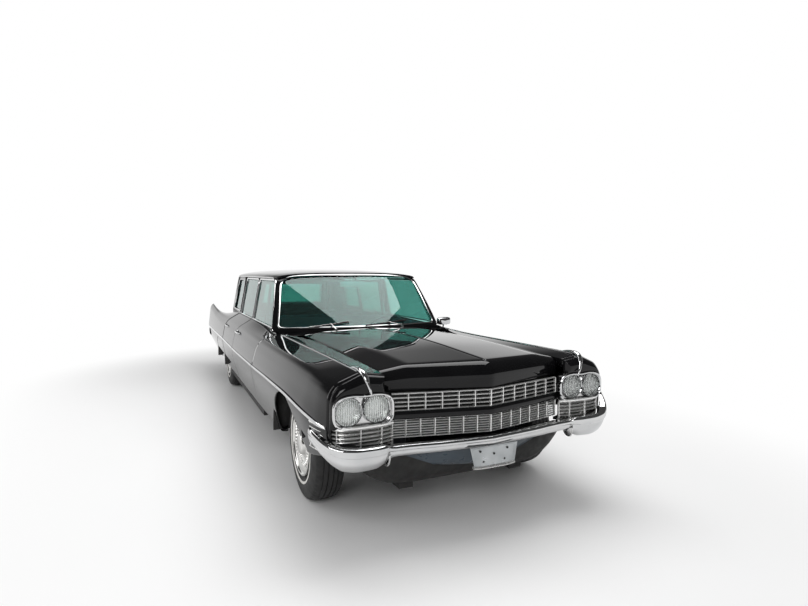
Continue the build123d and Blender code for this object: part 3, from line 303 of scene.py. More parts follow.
# Colour that wanders between two tones, roughness that wanders between two values, and a fine bump.
def finish(name, dark, light, rough, noiseScale=20.0, bumpScale=200.0, bump=0.0, metallic=0.0, coat=0.0,
           stretch=(1, 1, 1), sheen=0.0, colourScale=6.0, specular=0.5, bumpDistance=0.001,
           coatIor=1.5):
    material, tree, shader = newMaterial(name)
    shader.inputs["Metallic"].default_value = metallic
    shader.inputs["Coat Weight"].default_value = coat
    shader.inputs["Coat Roughness"].default_value = 0.02
    shader.inputs["Coat IOR"].default_value = coatIor
    shader.inputs["Sheen Weight"].default_value = sheen
    shader.inputs["Specular IOR Level"].default_value = specular
    mix = tree.nodes.new("ShaderNodeMix")
    mix.data_type = "RGBA"
    mix.inputs["A"].default_value = (*dark, 1)
    mix.inputs["B"].default_value = (*light, 1)
    shade = addNoise(tree, colourScale, 0.0, 1.0, 4.0, stretch)
    tree.links.new(shade.outputs["Value"], mix.inputs["Factor"])
    tree.links.new(mix.outputs["Result"], shader.inputs["Base Color"])
    gloss = addNoise(tree, noiseScale, rough[0], rough[1], 3.0, stretch)
    tree.links.new(gloss.outputs["Value"], shader.inputs["Roughness"])
    if bump:
        grain = addNoise(tree, bumpScale, 0.0, 1.0, 2.0, stretch)
        relief = tree.nodes.new("ShaderNodeBump")
        relief.inputs["Strength"].default_value = bump
        relief.inputs["Distance"].default_value = bumpDistance
        tree.links.new(grain.outputs["Value"], relief.inputs["Height"])
        tree.links.new(relief.outputs["Normal"], shader.inputs["Normal"])
    return material


def clearGlass(name, colour, rough=(0.0, 0.02), specular=0.5):
    material, tree, shader = newMaterial(name)
    shader.inputs["Base Color"].default_value = (*colour, 1)
    shader.inputs["Transmission Weight"].default_value = 1.0
    shader.inputs["Specular IOR Level"].default_value = specular
    shader.inputs["IOR"].default_value = 1.45
    film = addNoise(tree, 3.0, rough[0], rough[1])
    tree.links.new(film.outputs["Value"], shader.inputs["Roughness"])
    return material


paintValues = {"dark": (0.0035, 0.0035, 0.0040), "light": (0.0055, 0.0055, 0.0060), "rough": (0.03, 0.07),
               "coat": 1.0}
chromeValues = {"dark": (0.56, 0.57, 0.58), "light": (0.66, 0.66, 0.66), "rough": (0.03, 0.08)}
glassValues = {"tint": (0.26, 0.54, 0.49), "lens": (0.94, 0.96, 0.95)}

paint = finish("blackPaint", paintValues["dark"], paintValues["light"], paintValues["rough"],
               coat=paintValues["coat"], specular=0.0, coatIor=1.34)
chrome = finish("brightChrome", chromeValues["dark"], chromeValues["light"], chromeValues["rough"],
                metallic=1.0, bump=0.02, bumpScale=60.0)
coverMetal = finish("coverMetal", (0.62, 0.62, 0.60), (0.74, 0.73, 0.71), (0.10, 0.22), metallic=1.0,
                    bump=0.04)
grilleMetal = finish("grilleMetal", (0.80, 0.80, 0.79), (0.90, 0.90, 0.89), (0.26, 0.38), metallic=0.85,
                     bump=0.03)
stainless = finish("stainlessTrim", (0.60, 0.60, 0.60), (0.70, 0.70, 0.70), (0.12, 0.22), metallic=1.0)
reflector = finish("lampReflector", (0.88, 0.88, 0.88), (0.96, 0.96, 0.96), (0.22, 0.34), metallic=0.8)
tyreRubber = finish("tyreRubber", (0.012, 0.012, 0.012), (0.022, 0.022, 0.022), (0.55, 0.75), bump=0.25,
                    bumpScale=400)
whiteBand = finish("whiteBand", (0.62, 0.61, 0.58), (0.74, 0.73, 0.70), (0.45, 0.60), bump=0.05)
underPaint = finish("underPaint", (0.008, 0.008, 0.008), (0.020, 0.019, 0.018), (0.55, 0.80), bump=0.2)
castIron = finish("castIron", (0.05, 0.06, 0.07), (0.09, 0.10, 0.11), (0.50, 0.75), bump=0.5, metallic=0.3)
bareSteel = finish("bareSteel", (0.28, 0.28, 0.28), (0.42, 0.42, 0.42), (0.30, 0.48), metallic=1.0, bump=0.1)
valancePaint = finish("valancePaint", (0.030, 0.045, 0.060), (0.050, 0.070, 0.090), (0.25, 0.40), coat=0.3)
bracketMetal = finish("bracketMetal", (0.34, 0.36, 0.37), (0.52, 0.54, 0.55), (0.25, 0.42), metallic=0.9,
                      bump=0.15)
blueCloth = finish("blueCloth", (0.035, 0.115, 0.185), (0.060, 0.165, 0.245), (0.70, 0.90), bump=0.6,
                   bumpScale=900, sheen=0.25, noiseScale=60)
blueLeather = finish("blueLeather", (0.030, 0.100, 0.160), (0.050, 0.140, 0.210), (0.35, 0.50), bump=0.4,
                     bumpScale=500)
blueCarpet = finish("blueCarpet", (0.015, 0.050, 0.085), (0.030, 0.080, 0.125), (0.90, 1.0), bump=1.0,
                    bumpScale=700)
darkCloth = finish("headCloth", (0.010, 0.013, 0.018), (0.020, 0.024, 0.030), (0.80, 0.95), bump=0.5,
                   bumpScale=800)
dashPlastic = finish("dashPlastic", (0.012, 0.040, 0.060), (0.020, 0.055, 0.080), (0.35, 0.55), bump=0.3,
                     bumpScale=500)
blackRubber = finish("blackRubber", (0.008, 0.008, 0.008), (0.014, 0.014, 0.014), (0.50, 0.70), bump=0.1)
redLens = finish("redLens", (0.30, 0.004, 0.004), (0.40, 0.010, 0.008), (0.05, 0.12), coat=1.0)
tintGlass = clearGlass("tintedGlass", glassValues["tint"], specular=0.12)
lampGlass = clearGlass("lampGlass", glassValues["lens"], (0.02, 0.06))

nodeFinish = {
    "chassis_frame": underPaint, "floor_pan": underPaint, "front_suspension": underPaint,
    "rear_axle": underPaint,
    "fuel_tank": underPaint, "knuckle_left": bareSteel, "knuckle_right": bareSteel, "exhaust": bareSteel,
    "engine_block": castIron, "dashboard": dashPlastic, "steering_wheel": dashPlastic,
    "division": dashPlastic,
    "front_seat": blueCloth, "rear_seat": blueCloth, "front_bumper": chrome, "rear_bumper": chrome,
    "grille": chrome, "lamp_bezels": chrome, "headlamps": lampGlass, "door_mirror": chrome,
    "tail_lamps": redLens, "windshield": tintGlass, "cabin_glass": tintGlass,
    "front_door_glass_left": tintGlass, "front_door_glass_right": tintGlass,
    "rear_door_glass_left": tintGlass, "rear_door_glass_right": tintGlass,
}
for nodeName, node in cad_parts.items():
    node.data.materials.clear()
    if nodeName.startswith("tyre"):
        node.data.materials.append(tyreRubber)
    elif nodeName.startswith("wheel"):
        node.data.materials.append(coverMetal)
    else:
        node.data.materials.append(nodeFinish.get(nodeName, paint))
print("stage: materials made")


# Camera, light and floor

cameraValues = {"place": (-1.677, -5.492, 1.451), "heading": 24.94, "pitch": -3.23, "roll": 0.10,
                "lens": 23.49}


def makeCamera(values):
    yaw, pitch, roll = (math.radians(values[key]) for key in ("heading", "pitch", "roll"))
    forward = Vector((math.sin(yaw) * math.cos(pitch), math.cos(yaw) * math.cos(pitch), math.sin(pitch)))
    right = Vector((math.cos(yaw), -math.sin(yaw), 0))
    up = right.cross(forward)
    turnedRight = right * math.cos(roll) + up * math.sin(roll)
    turnedUp = up * math.cos(roll) - right * math.sin(roll)
    data = bpy.data.cameras.new("photoCamera")
    data.lens = values["lens"]
    data.sensor_width = 36.0
    data.clip_end = 200.0
    camera = bpy.data.objects.new("photoCamera", data)
    bpy.context.scene.collection.objects.link(camera)
    turn = Matrix((turnedRight, turnedUp, -forward)).transposed()
    camera.matrix_world = Matrix.Translation(values["place"]) @ turn.to_4x4()
    bpy.context.scene.camera = camera


makeCamera(cameraValues)

lightValues = {"sky": 0.55, "dark": 0.07, "floorColour": 0.80, "floorNear": 1.5, "floorFar": 3.6,
               "top": 260.0,
               "front": 120.0, "side": 90.0}


def addLight(name, place, aim, size, power, colour=(1, 1, 1)):
    data = bpy.data.lights.new(name, "AREA")
    data.shape = "RECTANGLE"
    data.size, data.size_y = size
    data.energy = power
    data.color = colour
    light = bpy.data.objects.new(name, data)
    light.location = place
    light.rotation_euler = (Vector(aim) - Vector(place)).to_track_quat("-Z", "Y").to_euler()
    bpy.context.scene.collection.objects.link(light)
    return light


addLight("topLight", (0.5, -0.8, 5.2), (0.2, -0.5, 0), (3.0, 5.5), lightValues["top"])
addLight("frontLight", (-3.5, -7.5, 3.6), (0, -2.5, 0.6), (3.0, 2.0), lightValues["front"])
addLight("sideLight", (-6.0, 0.5, 3.4), (0, 0, 0.8), (2.0, 5.0), lightValues["side"])


def mapRange(tree, source, fromLow, fromHigh, toLow=0.0, toHigh=1.0, smooth=True):
    node = tree.nodes.new("ShaderNodeMapRange")
    node.interpolation_type = "SMOOTHSTEP" if smooth else "LINEAR"
    for label, value in (("From Min", fromLow), ("From Max", fromHigh), ("To Min", toLow),
                         ("To Max", toHigh)):
        node.inputs[label].default_value = value
    tree.links.new(source, node.inputs["Value"])
    return node.outputs["Result"]


def mathNode(tree, operation, first, second):
    node = tree.nodes.new("ShaderNodeMath")
    node.operation = operation
    for k, value in enumerate((first, second)):
        if isinstance(value, (int, float)):
            node.inputs[k].default_value = value
        else:
            tree.links.new(value, node.inputs[k])
    return node.outputs[0]


# The world: white to the camera and through glass, white to gloss near the horizon behind the car, plain to
# the rest.
def makeWorld(values):
    world = bpy.data.worlds.new("studioWorld")
    bpy.context.scene.world = world
    world.use_nodes = True
    tree = world.node_tree
    back = tree.nodes["Background"]
    back.inputs["Color"].default_value = (1, 1, 1, 1)
    ray = tree.nodes.new("ShaderNodeLightPath")
    seen = mathNode(tree, "MAXIMUM", ray.outputs["Is Camera Ray"], ray.outputs["Is Transmission Ray"])
    place = tree.nodes.new("ShaderNodeTexCoord")
    split = tree.nodes.new("ShaderNodeSeparateXYZ")
    tree.links.new(place.outputs["Generated"], split.inputs[0])
    low = mapRange(tree, split.outputs["Z"], 0.10, 0.34, 1.0, 0.0)
    behind = mapRange(tree, split.outputs["Y"], -0.15, 0.45)
    backdrop = mapRange(tree, mathNode(tree, "MULTIPLY", low, behind), 0.0, 1.0, values["dark"], 1.0,
                        smooth=False)
    change = mathNode(tree, "MULTIPLY", ray.outputs["Is Glossy Ray"],
                      mathNode(tree, "SUBTRACT", backdrop, values["sky"]))
    level = mathNode(tree, "MAXIMUM", seen, mathNode(tree, "ADD", change, values["sky"]))
    tree.links.new(level, back.inputs["Strength"])


makeWorld(lightValues)


# The floor: pale and a little glossy near the car, where it keeps the shadow, and white like the backdrop
# further off.
def makeFloor(values):
    across = np.linspace(-60, 60, 25)
    x, y = np.meshgrid(across, across, indexing="ij")
    floor = bpy.data.objects.new("paleFloor", gridMesh("paleFloor", np.stack([x, y, 0 * x - 0.001], -1)))
    bpy.context.scene.collection.objects.link(floor)
    material, tree, shader = newMaterial("paleFloor")
    shader.inputs["Base Color"].default_value = (*(values["floorColour"],) * 3, 1)
    film = addNoise(tree, 0.6, 0.44, 0.54)
    tree.links.new(film.outputs["Value"], shader.inputs["Roughness"])
    place = tree.nodes.new("ShaderNodeTexCoord")
    split = tree.nodes.new("ShaderNodeSeparateXYZ")
    tree.links.new(place.outputs["Object"], split.inputs[0])
    beyond = mathNode(tree, "MAXIMUM",
                      mathNode(tree, "SUBTRACT", mathNode(tree, "ABSOLUTE", split.outputs["Y"], 0), 2.2), 0.0)
    across2 = mathNode(tree, "POWER", mathNode(tree, "ABSOLUTE", split.outputs["X"], 0), 2.0)
    far = mathNode(tree, "SQRT", mathNode(tree, "ADD", mathNode(tree, "POWER", beyond, 2.0), across2), 0)
    fade = mapRange(tree, far, values["floorNear"], values["floorFar"])
    ray = tree.nodes.new("ShaderNodeLightPath")
    seen = mathNode(tree, "MAXIMUM", ray.outputs["Is Camera Ray"], ray.outputs["Is Transmission Ray"])
    seen = mathNode(tree, "MAXIMUM", seen, ray.outputs["Is Glossy Ray"])
    white = tree.nodes.new("ShaderNodeEmission")
    mix = tree.nodes.new("ShaderNodeMixShader")
    tree.links.new(mathNode(tree, "MULTIPLY", fade, seen), mix.inputs[0])
    tree.links.new(shader.outputs[0], mix.inputs[1])
    tree.links.new(white.outputs[0], mix.inputs[2])
    output = next(node for node in tree.nodes if node.type == "OUTPUT_MATERIAL")
    tree.links.new(mix.outputs[0], output.inputs["Surface"])
    floor.data.materials.append(material)


makeFloor(lightValues)
bpy.context.scene.view_settings.view_transform = "Standard"
print("stage: camera, light and floor made")


# The body side, which fenders, doors and quarters are cut from

sideTable = {  # metres, front to rear
    "along": (-2.950, -2.900, -2.800, -2.600, -2.200, -1.700, -1.030, 0.200, 1.106, 2.060, 2.500, 2.990),
    "rockerOut": (0.870, 0.885, 0.905, 0.915, 0.918, 0.918, 0.918, 0.918, 0.918, 0.918, 0.920, 0.925),
    "rockerUp": (0.530, 0.500, 0.470, 0.420, 0.345, 0.335, 0.325, 0.322, 0.322, 0.335, 0.365, 0.410),
    "trimOut": (0.908, 0.925, 0.952, 0.978, 0.993, 0.998, 1.000, 1.001, 1.001, 1.001, 1.000, 0.998),
    "trimUp": (0.649, 0.653, 0.668, 0.690, 0.709, 0.702, 0.684, 0.667, 0.668, 0.660, 0.656, 0.652),
    "shoulderOut": (0.890, 0.902, 0.916, 0.926, 0.934, 0.940, 0.946, 0.952, 0.955, 0.956, 0.955, 0.953),
    "shoulderUp": (0.862, 0.869, 0.877, 0.884, 0.886, 0.882, 0.877, 0.872, 0.876, 0.905, 0.938, 0.982),
    "ridgeOut": (0.737, 0.737, 0.737, 0.737, 0.737, 0.738, 0.760, 0.800, 0.804, 0.826, 0.836, 0.848),
    "ridgeUp": (0.935, 0.936, 0.937, 0.937, 0.935, 0.932, 0.940, 0.966, 0.968, 0.905, 0.860, 0.800),
    "innerOut": (0.608, 0.608, 0.608, 0.608, 0.608, 0.608, 0.752, 0.752, 0.752, 0.652, 0.652, 0.652),
    "innerUp": (0.915, 0.917, 0.920, 0.924, 0.930, 0.936, 0.950, 0.970, 0.970, 0.902, 0.856, 0.796),
}
archValues = {"front": (-2.190, 0.320, 0.380), "rear": (1.615, 0.262, 0.375), "skirtLow": 0.385,
              "wall": 0.012}


def sideValues(along):
    return {key: smoothRow(along, sideTable["along"], sideTable[key]) for key in sideTable if key != "along"}


# The section at a station: rocker lip, rocker, widest line, shoulder, ridge and inner edge, joined by
# rounded corners.
def sidePaths(along, inner=None, top=None):
    v = sideValues(along)
    n = len(along)
    full = lambda value: np.broadcast_to(value, (n,))
    innerOut = v["innerOut"] if inner is None else full(inner)
    innerUp = v["innerUp"] if top is None else full(top)
    rows = [(v["rockerOut"] - 0.050, v["rockerUp"] - 0.004), (v["rockerOut"], v["rockerUp"]),
            (v["trimOut"] - 0.012, v["trimUp"] - 0.120), (v["trimOut"], v["trimUp"]),
            (v["shoulderOut"] + 0.014, v["shoulderUp"] - 0.045),
            (v["shoulderOut"] - 0.026, v["shoulderUp"] + 0.016), (v["ridgeOut"], v["ridgeUp"]),
            (innerOut, innerUp)]
    control = np.stack([np.stack(row, -1) for row in rows], 1)
    return roundedPath(control, (0, 0.020, 0.10, 0.050, 0.030, 0.030, 0.014, 0), steps=7, runSteps=4)


# Points below a station's lowest height move up onto it, so that a wheel opening's edge is a true curve.
def cutLow(paths, lowUp):
    heights = paths[:, :, 1]
    under = heights < lowUp[:, None]
    last = np.where(under.any(1), under.shape[1] - 1 - np.argmax(under[:, ::-1], axis=1), 0)
    last = np.minimum(last, paths.shape[1] - 2)
    rows = np.arange(len(paths))
    a, b = paths[rows, last], paths[rows, last + 1]
    share = np.clip((lowUp - a[:, 1]) / np.maximum(b[:, 1] - a[:, 1], 1e-6), 0, 1)
    edge = a + (b - a) * share[:, None]
    columns = np.arange(paths.shape[1])[None]
    below = (columns <= last[:, None]) & under.any(1)[:, None]
    return np.where(below[:, :, None], edge[:, None], paths)


def archLow(along, values):
    centre, height, radius = values
    reach = np.clip(1 - ((along - centre) / radius) ** 2, 0, None)
    return np.where(np.abs(along - centre) < radius, height + radius * np.sqrt(reach), -1.0)


# Stations between two ends, closer together at the two edges of a wheel opening.
def stationsBetween(start, end, arch=None, count=60):
    along = np.linspace(start, end, count)
    if arch is not None:
        turn = np.linspace(0, math.pi, 49)
        edges = arch[0] - np.cos(turn) * arch[2] * 0.9999
        edges = np.concatenate([edges, [arch[0] - arch[2] * 1.0001, arch[0] + arch[2] * 1.0001]])
        along = np.concatenate([along, edges[(edges > start) & (edges < end)]])
    return np.unique(along.round(6))


def place3d(along, paths):
    return np.concatenate([paths[:, :, :1], np.broadcast_to(along[:, None, None], (*paths.shape[:2], 1)),
                           paths[:, :, 1:]], -1)


def mergeMesh(mesh, merge=mergeGap):
    work = bmesh.new()
    work.from_mesh(mesh)
    bmesh.ops.remove_doubles(work, verts=work.verts, dist=merge)
    work.to_mesh(mesh)
    work.free()
    mesh.polygons.foreach_set("use_smooth", np.ones(len(mesh.polygons), bool))
    return mesh


def sideSkin(name, start, end, arch=None, drop=0.05):
    along = stationsBetween(start, end, arch)
    paths = sidePaths(along)
    last = paths[:, -1:]
    flange = np.concatenate([last, last + (0, -drop * 0.25), last + (0, -drop)], 1)
    paths = np.concatenate([paths, flange[:, 1:]], 1)
    if arch is not None:
        paths = cutLow(paths, archLow(along, arch))
    return mergeMesh(gridMesh(name, place3d(along, paths)))


panelLines = {"fenderFront": -2.945, "fenderRear": -1.036, "doorFront": -1.030, "postFront": 0.222,
              "postRear": 0.228,
              "doorRear": 1.100, "quarterFront": 1.106, "quarterRear": 2.985}

fenderMesh = sideSkin("fenderSkin", panelLines["fenderFront"], panelLines["fenderRear"], archValues["front"])
addPair("fenderSkin", fenderMesh, paint, thick=archValues["wall"], slot="black_paint",
        stands=(("front_fenders",), ()))
quarterMesh = sideSkin("quarterSkin", panelLines["quarterFront"], panelLines["quarterRear"],
                       archValues["rear"])
addPair("quarterSkin", quarterMesh, paint, thick=archValues["wall"], slot="black_paint",
        stands=(("rear_quarters",), ()))


# The skirt fills the opening's upper part, a little inside the quarter's edge.
def skirtMesh(name, arch, gap=0.004):
    centre, height, radius = arch
    inner = (centre, height, radius - gap)
    along = stationsBetween(centre - radius * 0.97, centre + radius * 0.97, None, 60)
    low = np.maximum(archValues["skirtLow"], 0 * along)
    top = np.maximum(archLow(along, inner), low + 0.004)
    v = sidePaths(along)
    t = np.linspace(0, 1, 26)[None]
    up = low[:, None] + (top - low)[:, None] * t
    order = v[:, 4:40]
    out = np.stack([np.interp(up[k], order[k, :, 1], order[k, :, 0]) for k in range(len(along))])
    return gridMesh(name, np.stack([out - 0.001, np.broadcast_to(along[:, None], out.shape), up], -1))


addPair("wheelSkirt", skirtMesh("wheelSkirt", archValues["rear"]), paint, thick=archValues["wall"],
        slot="black_paint", stands=(("rear_skirts",), ()))
print("stage: fenders, quarters and skirts made")


# Wheelhouses: the upper part of a barrel over each wheel, clear of its full turn, from the skin to a flat
# apron.
houseValues = {"low": 0.338, "up": 0.359, "front": (-2.190, 0.432, 0.470, 0.962, 0.520),
               "rear": (1.615, 0.396, 0.628, 0.965, 0.338)}


def wheelhouse(name, centre, radius, inner, outer, frontLow):
    low, height = houseValues["low"], houseValues["up"]
    turn = np.linspace(math.asin((frontLow - height) / radius), math.pi - math.asin((low - height) / radius),
                       49)[:, None]
    out = np.linspace(outer, inner, 6)[None]
    y = centre - np.cos(turn) * radius + 0 * out
    z = height + np.sin(turn) * radius + 0 * out
    barrel = gridMesh(name, np.stack([out + 0 * turn, y, z], -1))
    share = np.linspace(0, 1, 8)[None]
    y = centre + (y[:, :1] - centre) * share
    z = low + (z[:, :1] - low) * share
    return mergeMesh(joinMeshes(name, [barrel, gridMesh(name, np.stack([inner + 0 * y, y, z], -1))]))


for end in ("front", "rear"):
    name = f"wheelhouse{end.title()}"
    addPair(name, wheelhouse(name, *houseValues[end]), underPaint, thick=0.003, offset=0,
            slot="chassis_paint", even=False)


# Doors: a closed section from rocker to belt, its rear end bevelled so that it clears the next panel as it
# swings.
doorValues = {"inner": 0.752, "bevel": 0.040, "top": 0.970, "edge": 0.004}


def doorBody(name, start, end):
    along = np.linspace(start, end, 34)
    paths = sidePaths(along, doorValues["inner"] + 0.020)
    low = paths[:, :1] * (0, 1) + (doorValues["inner"], 0)
    mid = low + (0, 0.30)
    high = paths[:, -1:] * (0, 1) + (doorValues["inner"], -0.012)
    grid = place3d(along, np.concatenate([paths, high, mid, low], 1))
    share = np.clip((1.0 - grid[:, :, 0]) / (1.0 - doorValues["inner"]), 0, 1)
    pull = np.clip((along - end + 0.12) / 0.12, 0, 1)[:, None]
    grid[:, :, 1] -= share * pull * doorValues["bevel"]
    return cleanMesh(gridMesh(name, grid, wrapCols=True, capRows=True))


doorPanels = {
    "frontDoor": ("front_door", panelLines["doorFront"], panelLines["postFront"]),
    "rearDoor": ("rear_door", panelLines["postRear"], panelLines["doorRear"]),
}
for name, (node, start, end) in doorPanels.items():
    addPair(name, doorBody(name, start, end), paint, bodies=(f"{node}_left", f"{node}_right"),
            stands=((f"{node}_left",), (f"{node}_right",)), bevel=doorValues["edge"], slot="black_paint")
print("stage: doors made")


# Loops, sampled by the angle round a centre so that two of them can be joined
def byAngle(loop, centre, angles):
    loop = np.asarray(loop, float) - centre
    turn = np.arctan2(loop[:, 1], loop[:, 0])
    order = np.argsort(turn)
    turn, far = turn[order], np.hypot(loop[:, 0], loop[:, 1])[order]
    reach = np.interp(angles, turn, far, period=2 * math.pi)
    return np.stack([reach * np.cos(angles), reach * np.sin(angles)], 1) + centre


def denseLoop(points, reach, count=720):
    path = roundedPath(np.asarray(points, float), reach, steps=12, runSteps=8, closed=True)
    return evenPath(np.concatenate([path, path[:1]]), count)


# Hood: five lengthwise profiles across, rounded a little where they crease, each a rounded path from lip to
# cowl.
hoodTable = {
    "out": (0.0, 0.450, 0.602), "rear": (0.972, 0.960, 0.938), "middle": (1.000, 0.974, 0.938),
    "breakAlong": (-3.002, -2.889, -2.855), "breakUp": (0.960, 0.948, 0.918),
    "crestAlong": (-3.059, -2.936, -2.892), "crestUp": (0.905, 0.895, 0.880),
    "lipAlong": (-3.044, -2.922, -2.884), "lipUp": (0.813, 0.813, 0.813),
}
hoodEnds = {"rear": -1.176, "middle": -2.15, "wall": 0.012}


def hoodGrid():
    t = hoodTable
    rows = []
    for sign, k in ((-1, 2), (-1, 1), (1, 0), (1, 1), (1, 2)):
        rows.append((sign * t["out"][k], hoodEnds["rear"], t["rear"][k], hoodEnds["middle"], t["middle"][k],
                     t["breakAlong"][k], t["breakUp"][k], t["crestAlong"][k], t["crestUp"][k],
                     t["lipAlong"][k], t["lipUp"][k]))
    columns = roundedPath(np.array(rows), (0, 0.035, 0.030, 0.035, 0), steps=9, runSteps=14)
    control = columns[:, 1:].reshape(-1, 5, 2)
    profile = roundedPath(control, (0, 0.70, 0.035, 0.050, 0), steps=14, runSteps=10)[:, ::-1]
    out = np.broadcast_to(columns[:, :1, None], (*profile.shape[:2], 1))
    return np.concatenate([out, profile], -1)


hoodPoints = hoodGrid()
addPiece("hoodSkin", gridMesh("hoodSkin", hoodPoints), paint, "hood", ("hood",), thick=hoodEnds["wall"],
         slot="black_paint", sharp=60)
# Painted highlight: a thin chrome bar along the hood's centre crease stands in for the highlight that runs
# along the crease.
centreLine = hoodPoints[len(hoodPoints) // 2]
ridgeRun = centreLine[(centreLine[:, 1] > -2.99) & (centreLine[:, 1] < -1.20)] + (0, 0, 0.0015)
addPiece("hoodCentreHighlight", sweepMesh("hoodCentreHighlight", evenPath(ridgeRun, 60), barProfile(0.007, 0.006, 8)),
         chrome, "hood", slot="bright_chrome")
print("stage: hood made")


# Trunk lid: the same kind of surface, from the shelf to the tail.
lidTable = {"front": 2.060, "rear": 2.944, "half": 0.645, "low": 0.602}


def lidMesh():
    across = np.linspace(-1, 1, 41)
    crown = 0.016 * (1 - np.abs(across) ** 2.2)
    along = (lidTable["front"], 2.45, 2.80, lidTable["rear"] - 0.004, lidTable["rear"])
    base = smoothRow(along[:4], sideTable["along"], sideTable["innerUp"])
    up = np.concatenate([base, [lidTable["low"]]])
    control = np.stack([np.stack([np.full(41, y), z + crown * (k < 4)], -1)
                        for k, (y, z) in enumerate(zip(along, up))], 1)
    profile = roundedPath(control, (0, 0.15, 0.10, 0.045, 0), steps=10, runSteps=6)
    out = np.broadcast_to((across * lidTable["half"])[:, None, None], (*profile.shape[:2], 1))
    return gridMesh("trunkSkin", np.concatenate([out, profile], -1))


addPiece("trunkSkin", lidMesh(), paint, "trunk_lid", ("trunk_lid",), thick=0.010, slot="black_paint",
         sharp=60)


# Roof: rows of half super-ellipses, x = a |cos|^(2/n), z = rail + b |sin|^(2/n), whose height fades out at
# the rear.
roofTable = {
    "along": (-0.640, -0.400, 0.000, 0.500, 1.000, 1.400, 1.650),
    "half": (0.690, 0.706, 0.716, 0.718, 0.718, 0.716, 0.712),
    "crown": (0.050, 0.070, 0.084, 0.091, 0.090, 0.085, 0.077),
}
roofValues = {"rail": 1.402, "rear": 1.900, "power": 2.7, "bow": 0.052, "wall": 0.012}


def roofGrid(inside=0.0):
    front = np.linspace(roofTable["along"][0], 1.62, 44)
    turn = np.linspace(0, math.pi / 2, 16)[1:]
    rear = roofValues["rear"] - inside
    along = np.concatenate([front, 1.62 + (rear - 1.62) * np.sin(turn)])
    half = smoothRow(np.minimum(along, 1.65), roofTable["along"], roofTable["half"]) - inside
    crown = smoothRow(np.minimum(along, 1.65), roofTable["along"], roofTable["crown"]) - inside * 0.6
    fade = np.concatenate([np.ones(len(front)), np.cos(turn)])
    height = crown * fade ** 0.72
    pull = np.concatenate([np.zeros(len(front)), (1 - np.cos(turn)) ** 2]) * 0.085
    phi = np.linspace(0, math.pi, 61)
    n = 2 / roofValues["power"]
    c = np.sign(np.cos(phi)) * np.abs(np.cos(phi)) ** n
    s = np.abs(np.sin(phi)) ** n
    x = (half - pull)[:, None] * c[None]
    z = roofValues["rail"] + height[:, None] * s[None]
    bow = roofValues["bow"] * np.clip(1 - (along - along[0]) / 0.5, 0, 1) ** 2
    y = along[:, None] - bow[:, None] * (1 - c[None] ** 2)
    return np.stack([x, y, z], -1)


roofPoints = roofGrid()
addPiece("roofSkin", faceToward(gridMesh("roofSkin", roofPoints), (0, 0, 1)), paint, "root", ("roof",),
         thick=roofValues["wall"],
         slot="black_paint", sharp=60)
addPiece("headLining", faceToward(gridMesh("headLining", roofGrid(0.032)), (0, 0, -1)), darkCloth,
         thick=0.003, slot="blue_cloth", sharp=60)


# The quarter and back panels: straight lines from a belt outline up to a rail outline, with window fields
# left out.
quarterValues = {"front": 1.106, "sideOut": 0.66, "backFront": 1.86, "windowFront": 1.158,
                 "windowRear": 1.690, "low": 0.970, "windowLow": 0.996,
                 "windowTop": 1.372, "backLow": 1.035, "backTop": 1.300, "backHalf": 0.450,
                 "cornerReach": 0.13}


def outlineAt(half, rear, bow, cornerReach):
    v = quarterValues
    side = [(half, y) for y in (v["front"], v["windowFront"])]
    side += [(half, y) for y in np.linspace(v["windowFront"], v["windowRear"], 14)[1:]]
    start = rear - cornerReach
    side += [(half, y) for y in np.linspace(v["windowRear"], start, 5)[1:-1]]
    turn = np.linspace(0, math.pi / 2, 12)
    reach = cornerReach * 0.95
    side += [(half - reach + reach * math.cos(t), start + cornerReach * math.sin(t)) for t in turn]
    end = half - reach
    back = [(x, rear + bow * (1 - (x / end) ** 2)) for x in np.linspace(end, v["backHalf"], 4)[1:]]
    back += [(x, rear + bow * (1 - (x / end) ** 2)) for x in np.linspace(v["backHalf"], 0, 8)[1:]]
    half_ = np.array(side + back)
    return np.concatenate([half_, (half_[:-1] * (-1, 1))[::-1]])


def cabinBack(name, inside=0.0):
    v = quarterValues
    low = outlineAt(0.786 - inside, 1.965 - inside, 0.018, v["cornerReach"])
    high = outlineAt(0.716 - inside, 1.885 - inside, 0.014, v["cornerReach"])
    levels = np.array([0.870, v["low"], 0.980, v["windowLow"], v["backLow"], 1.08, 1.14, 1.20, 1.26,
                       v["backTop"], 1.335, v["windowTop"], 1.390, roofValues["rail"]])
    share = np.clip((levels - v["low"]) / (levels[-1] - v["low"]), 0, 1)
    plan = low[None] * (1 - share)[:, None, None] + high[None] * share[:, None, None]
    grid = np.concatenate([plan, np.broadcast_to(levels[:, None, None], (*plan.shape[:2], 1))], -1)
    middle = (grid[:-1, :-1] + grid[1:, 1:]) / 2
    out, along, up = np.abs(middle[..., 0]), middle[..., 1], middle[..., 2]
    onSide = (out > v["sideOut"]) & (along > v["windowFront"]) & (along < v["windowRear"])
    quarter = onSide & (up > v["windowLow"]) & (up < v["windowTop"])
    rear = (along > v["backFront"]) & (out < v["backHalf"]) & (up > v["backLow"]) & (up < v["backTop"])
    return gridMesh(name, grid, drop=quarter | rear)


addPiece("cabinBack", faceToward(cabinBack("cabinBack"), (0, 1, 0)), paint, thick=0.012, slot="black_paint",
         sharp=50)
addPiece("cabinBackLining", faceToward(cabinBack("cabinBackLining", 0.026), (0, -1, 0)), darkCloth,
         thick=0.003, offset=0, slot="blue_cloth", sharp=50)
print("stage: roof and quarter panels made")


# Windshield: straight lines from a bowed base to a bowed header, in shares u across and v up.
screenValues = {"baseHalf": 0.800, "baseLine": -0.930, "baseBow": 0.170, "baseUp": 0.948, "topHalf": 0.688,
                "topLine": -0.612, "topBow": 0.050, "topUp": 1.452, "topDrop": 0.046, "glass": 0.006}


